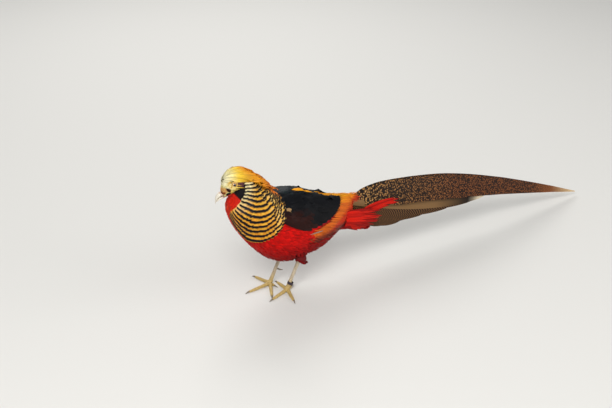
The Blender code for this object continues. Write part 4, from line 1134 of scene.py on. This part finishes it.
# Red coverts
# Long stiff scarlet lances lie along each side of the tail's root, over shorter ones that hide where they
# grow. Roots and tips are set for five places down the side, and the others lie between them.
LANCES = [((70, 24, 126), (144, 26, 115)), ((70, 25, 119), (152, 27, 104)), ((70, 25, 112), (157, 26.5, 90)),
          ((70, 24, 105), (132, 26, 81)), ((68, 23, 99), (100, 24.5, 80))]
LANCE_STEPS = np.linspace(0, 1, 12)
lance_paths, lance_widths, lance_sides = [], [], []
for side in (-1, 1):
    for share, out in ((1.0, -9.0), (0.96, -6.0), (0.84, -3.0), (0.56, 0.0)):
        for k in range(8):
            place_on = np.clip(k / 7 * 4 + rng.uniform(-0.25, 0.25), 0, 4)
            root, tip = (np.array([np.interp(place_on, range(5), [row[end][n] for row in LANCES])
                                   for n in range(3)]) for end in (0, 1))
            tip = root + (tip - root) * share * rng.uniform(0.8, 1.06)
            root[1] += 1
            path = []
            for t in LANCE_STEPS:
                bow = math.sin(math.pi * t)
                x, y, z = root + (tip - root) * t
                path.append(bird(x, side * (y + 3 * bow + out * t - 1.5 * (1 - t)), z + 1.5 * bow))
            lance_paths.append(path)
            lance_widths.append(rng.uniform(0.0026, 0.0036))
            lance_sides.append(side)
    for k in range(6):
        root, tip = np.array([116 + 3 * k, 15, 119 - 2 * k]), np.array([180 + 5 * (k % 3), 18, 126 - 2.2 * k])
        path = [root + (tip - root) * t + (0, 0, 2 * math.sin(math.pi * t)) for t in LANCE_STEPS]
        lance_paths.append([bird(x, side * y, z) for x, y, z in path])
        lance_widths.append(0.0028)
        lance_sides.append(side)
lance_normals = np.array([np.tile((0.05, side, 0.12), (len(LANCE_STEPS), 1)) for side in lance_sides])
# Each lance takes a random red from scarlet to dark crimson. The darker ones are painted shade, standing for
# the shaded gaps between lances.
lance_tints = blend(linear("D81C0A"), linear("7A0606"), rng.random(len(lance_paths)) * 1.1)
lances = feather_mesh("tail_covert_lances", np.array(lance_paths), lance_normals, np.array(lance_widths),
                      lance_tints, hair, across=(-1, -0.4, 0, 0.4, 1), camber=0.3, thickness=0.0006,
                      strips=True)
lances.data.materials.append(red_vanes)
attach(lances, "root")
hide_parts("coverts_left", "coverts_right")

# Feathers under the tail
# Broad soft crimson feathers lie back from the vent under the tail's root, in loose rows.
under_guide = merged_copy("under_guide", FLESH + ["undertail"], 0.0018, 4)
UNDERTAIL_SPACING, UNDERTAIL_END = 0.0045, 146
under_roots = scatter(under_guide, UNDERTAIL_SPACING,
                      lambda places: (x_and_z(places)[0] > 40) & (places[:, 2] < 0.118))
under_roots = under_roots[nearest_is(under_roots, ["undertail"], ["torso", "wing_left", "wing_right"])]
under_tree = surface_of(under_guide)
room = (UNDERTAIL_END - MIDDLE_X) / 1000 - under_roots[:, 0]
under_lengths = np.clip(rng.uniform(0.02, 0.032, len(under_roots)), 0.006, room + 0.008)
paths, normals = lay(under_tree, under_roots, lambda place, normal: Vector((1, 0, -0.1)), under_lengths, 6,
                     -0.001, 0.0014)
tints = blend(CRIMSON, linear("B01008"), np.repeat(rng.random((len(paths), 1)), 6, 1))
under_widths = rng.uniform(0.0026, 0.0036, len(paths))
under_coat = feather_mesh("undertail_feathers", paths, normals, under_widths, tints, leaf)
under_coat.data.materials.append(red_vanes)
discard(under_guide)
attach(under_coat, "root")
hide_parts("undertail")

# Legs and feet
# Tough straw-yellow skin covers shank and toes: broad plates run down the front of the shank and along the
# top of each toe, and fine net-like scales cover the back and the pads.
LEGS = {  # where the foot stands, the hock, and each toe's heading in degrees and length
    "left": ((-50, -17), (-23, -24, 74), {-88: 42, 20: 50, 76: 47, -150: 24}),
    "right": ((-65, 18), (-28, 26, 69), {64: 52, 6: 55, -74: 46, 110: 19}),
}
SCUTE, SCUTE_DEPTH, SOLE = 3.1, 0.00035, 0.0005
for name, (foot, hock, toes) in LEGS.items():
    leg = merged_copy("leg_" + name, ["shank_" + name, "foot_" + name], 0.0006, 4)
    lines = [((*foot, 5.5), hock, Vector((-1, 0, 0.2)))]
    for heading, length in toes.items():
        angle = math.radians(heading)
        end = (foot[0] - math.cos(angle) * length, foot[1] - math.sin(angle) * length, 2)
        lines.append(((*foot, 4.6), end, Vector((0, 0, 1))))
    places, normals = each_vertex(leg), each_vertex(leg, "normal")
    nearest, groove, facing = np.full(len(places), 1e9), np.zeros(len(places)), np.zeros(len(places))
    for start, end, top in lines:
        start, end = np.array(bird(*start)), np.array(bird(*end))
        length = np.linalg.norm(end - start)
        along = np.clip((places - start) @ (end - start) / length, 0, length)
        away = np.linalg.norm(places - start - along[:, None] * (end - start) / length, axis=1)
        phase = np.abs((along * 1000 / SCUTE) % 1 - 0.5)
        closer = away < nearest
        nearest = np.where(closer, away, nearest)
        groove = np.where(closer, np.exp(-(phase / 0.12) ** 2), groove)
        facing = np.where(closer, np.clip(normals @ np.array(top.normalized()) * 2, 0, 1), facing)
    places -= normals * (SCUTE_DEPTH * groove * facing * (places[:, 2] > SOLE))[:, None]
    move_vertices(leg, places)
    straw = blend(linear("CDAE68"), linear("CDBDA2"), (places[:, 2] - 0.008) / 0.02)
    straw = blend(straw, linear("937A52"), groove * facing * 0.8)
    paint(leg, straw * (0.92 + 0.08 * np.sin(places[:, :1] * 900)))
    # Scaly skin is dry and half matt, with a net of fine scales 1.25 mm across.
    scaly, tree, shader = new_material("scaly_leg_skin_" + name, 0.5, 0.4)
    dye_and_shade = node(tree, "Attribute", {"attribute_name": "dye_and_shade"}).outputs["Color"]
    here = node(tree, "TexCoord").outputs["Object"]
    net = node(tree, "TexVoronoi", {"feature": "DISTANCE_TO_EDGE"}, Vector=here, Scale=800.0)
    scales = ramp(tree, net.outputs["Distance"], [(0.0, 0.72), (0.12, 1.0)])
    finish(tree, shader, mix(tree, 1.0, dye_and_shade, scales, "MULTIPLY"), scales, 0.35, 0.0002)
    leg.data.materials.append(scaly)
    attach(leg, "root")
    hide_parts("shank_" + name, "foot_" + name)

# Claws and spurs
# Blunt grey-brown horn sheaths tip each toe, and a short spur stands on the inner back of each shank.
# Dry horn, half glossy where the ground wears it, with streaks 1.4 mm apart.
claw_horn, tree, shader = new_material("grey_brown_horn", 0.38, 0.45)
here = node(tree, "TexCoord").outputs["Object"]
streaks = node(tree, "TexNoise", Vector=here, Scale=700.0, Detail=3.0).outputs["Fac"]
finish(tree, shader, ramp(tree, streaks, [(0.3, "5E5142"), (0.7, "8E7E68")]), streaks, 0.2, 0.0001)
TOES = ("inner", "middle", "outer", "hind")
for kind, names in (("claws", [f"claw_{side}_{toe}" for side in LEGS for toe in TOES]),
                    ("spurs", ["spur_left", "spur_right"])):
    horn = fine_copy(kind, names, 2)
    horn.data.materials.append(claw_horn)
    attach(horn, "root")
    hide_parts(*names)

# Leg band
# A ring of dark anodised aluminium strip, rolled round the left shank, its edges rounded.
low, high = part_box("leg_band")
foot, hock, _ = LEGS["left"]
turned = (bird(*hock) - bird(*foot, 0)).normalized().to_track_quat("Z", "Y").to_euler()
BAND_OUTER, BAND_HEIGHT, BAND_WALL, BAND_EDGE = 0.0053, 0.005, 0.0008, 0.0002
bpy.ops.mesh.primitive_cylinder_add(vertices=64, radius=BAND_OUTER, depth=BAND_HEIGHT, rotation=turned,
                                    location=(low + high) / 2, end_fill_type="NOTHING")
band = bpy.context.active_object
band.name = "leg_ring"
bpy.ops.object.transform_apply(location=True, rotation=True, scale=True)
apply_modifier(band, "SOLIDIFY", thickness=BAND_WALL, offset=-1)
apply_modifier(band, "BEVEL", width=BAND_EDGE, segments=3, limit_method="ANGLE")
bpy.ops.object.shade_smooth_by_angle(angle=math.radians(40))
# Anodised aluminium is a metal with a thin dark oxide, satin, with faint marks from rolling along its edge.
anodised, tree, shader = new_material("anodised_aluminium", 0.4)
shader.inputs["Metallic"].default_value = 1.0
rolled = node(tree, "Mapping", Vector=node(tree, "TexCoord").outputs["Object"], Scale=(200, 200, 3000))
marks = node(tree, "TexNoise", Vector=rolled.outputs[0], Scale=1.0, Detail=3.0).outputs["Fac"]
finish(tree, shader, ramp(tree, marks, [(0.3, "3A343C"), (0.7, "6A6068")]))
band.data.materials.append(anodised)
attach(band, "root")
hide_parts("leg_band")

# Stage
# A plain pale floor and soft studio light, and the camera at the photograph's angle.
bpy.ops.mesh.primitive_plane_add(size=12, location=(0, 0, 0))
floor = bpy.context.active_object
floor.name = "floor"
# Matt painted board, which takes a soft shadow and shows no reflection.
floor_material, tree, shader = new_material("pale_floor", 0.85, 0.2)
shader.inputs["Base Color"].default_value = (*linear("D9D7D2"), 1)
floor.data.materials.append(floor_material)

world = bpy.data.worlds.new("studio")
bpy.context.scene.world = world
world.use_nodes = True
sky = world.node_tree.nodes["Background"]
sky.inputs["Color"].default_value = (*linear("E6E8EA"), 1)
sky.inputs["Strength"].default_value = 0.42


def soft_light(name, place, size, power):
    bpy.ops.object.light_add(type="AREA", location=place)
    light = bpy.context.active_object
    light.name = name
    light.data.size = size
    light.data.energy = power
    light.rotation_euler = (Vector((-0.15, 0, 0.1)) - Vector(place)).to_track_quat("-Z", "Y").to_euler()


soft_light("key", (-1.6, -1.5, 2.0), 1.4, 60)
soft_light("fill", (1.6, -1.8, 1.2), 1.8, 22)
soft_light("rim", (0.4, 1.8, 1.9), 1.4, 30)

AZIMUTH, ELEVATION, DISTANCE, LENS = math.radians(-32), math.radians(26), 1.85, 62.03
TARGET = Vector((-0.245, 0, 0.152))
back = Vector((math.sin(AZIMUTH) * math.cos(ELEVATION), -math.cos(AZIMUTH) * math.cos(ELEVATION),
               math.sin(ELEVATION)))
bpy.ops.object.camera_add(location=TARGET + back * DISTANCE)
camera = bpy.context.active_object
camera.name = "camera"
camera.rotation_euler = (-back).to_track_quat("-Z", "Y").to_euler()
camera.data.lens = LENS
camera.data.sensor_width = 36
bpy.context.scene.camera = camera
bpy.context.scene.view_settings.view_transform = "Standard"
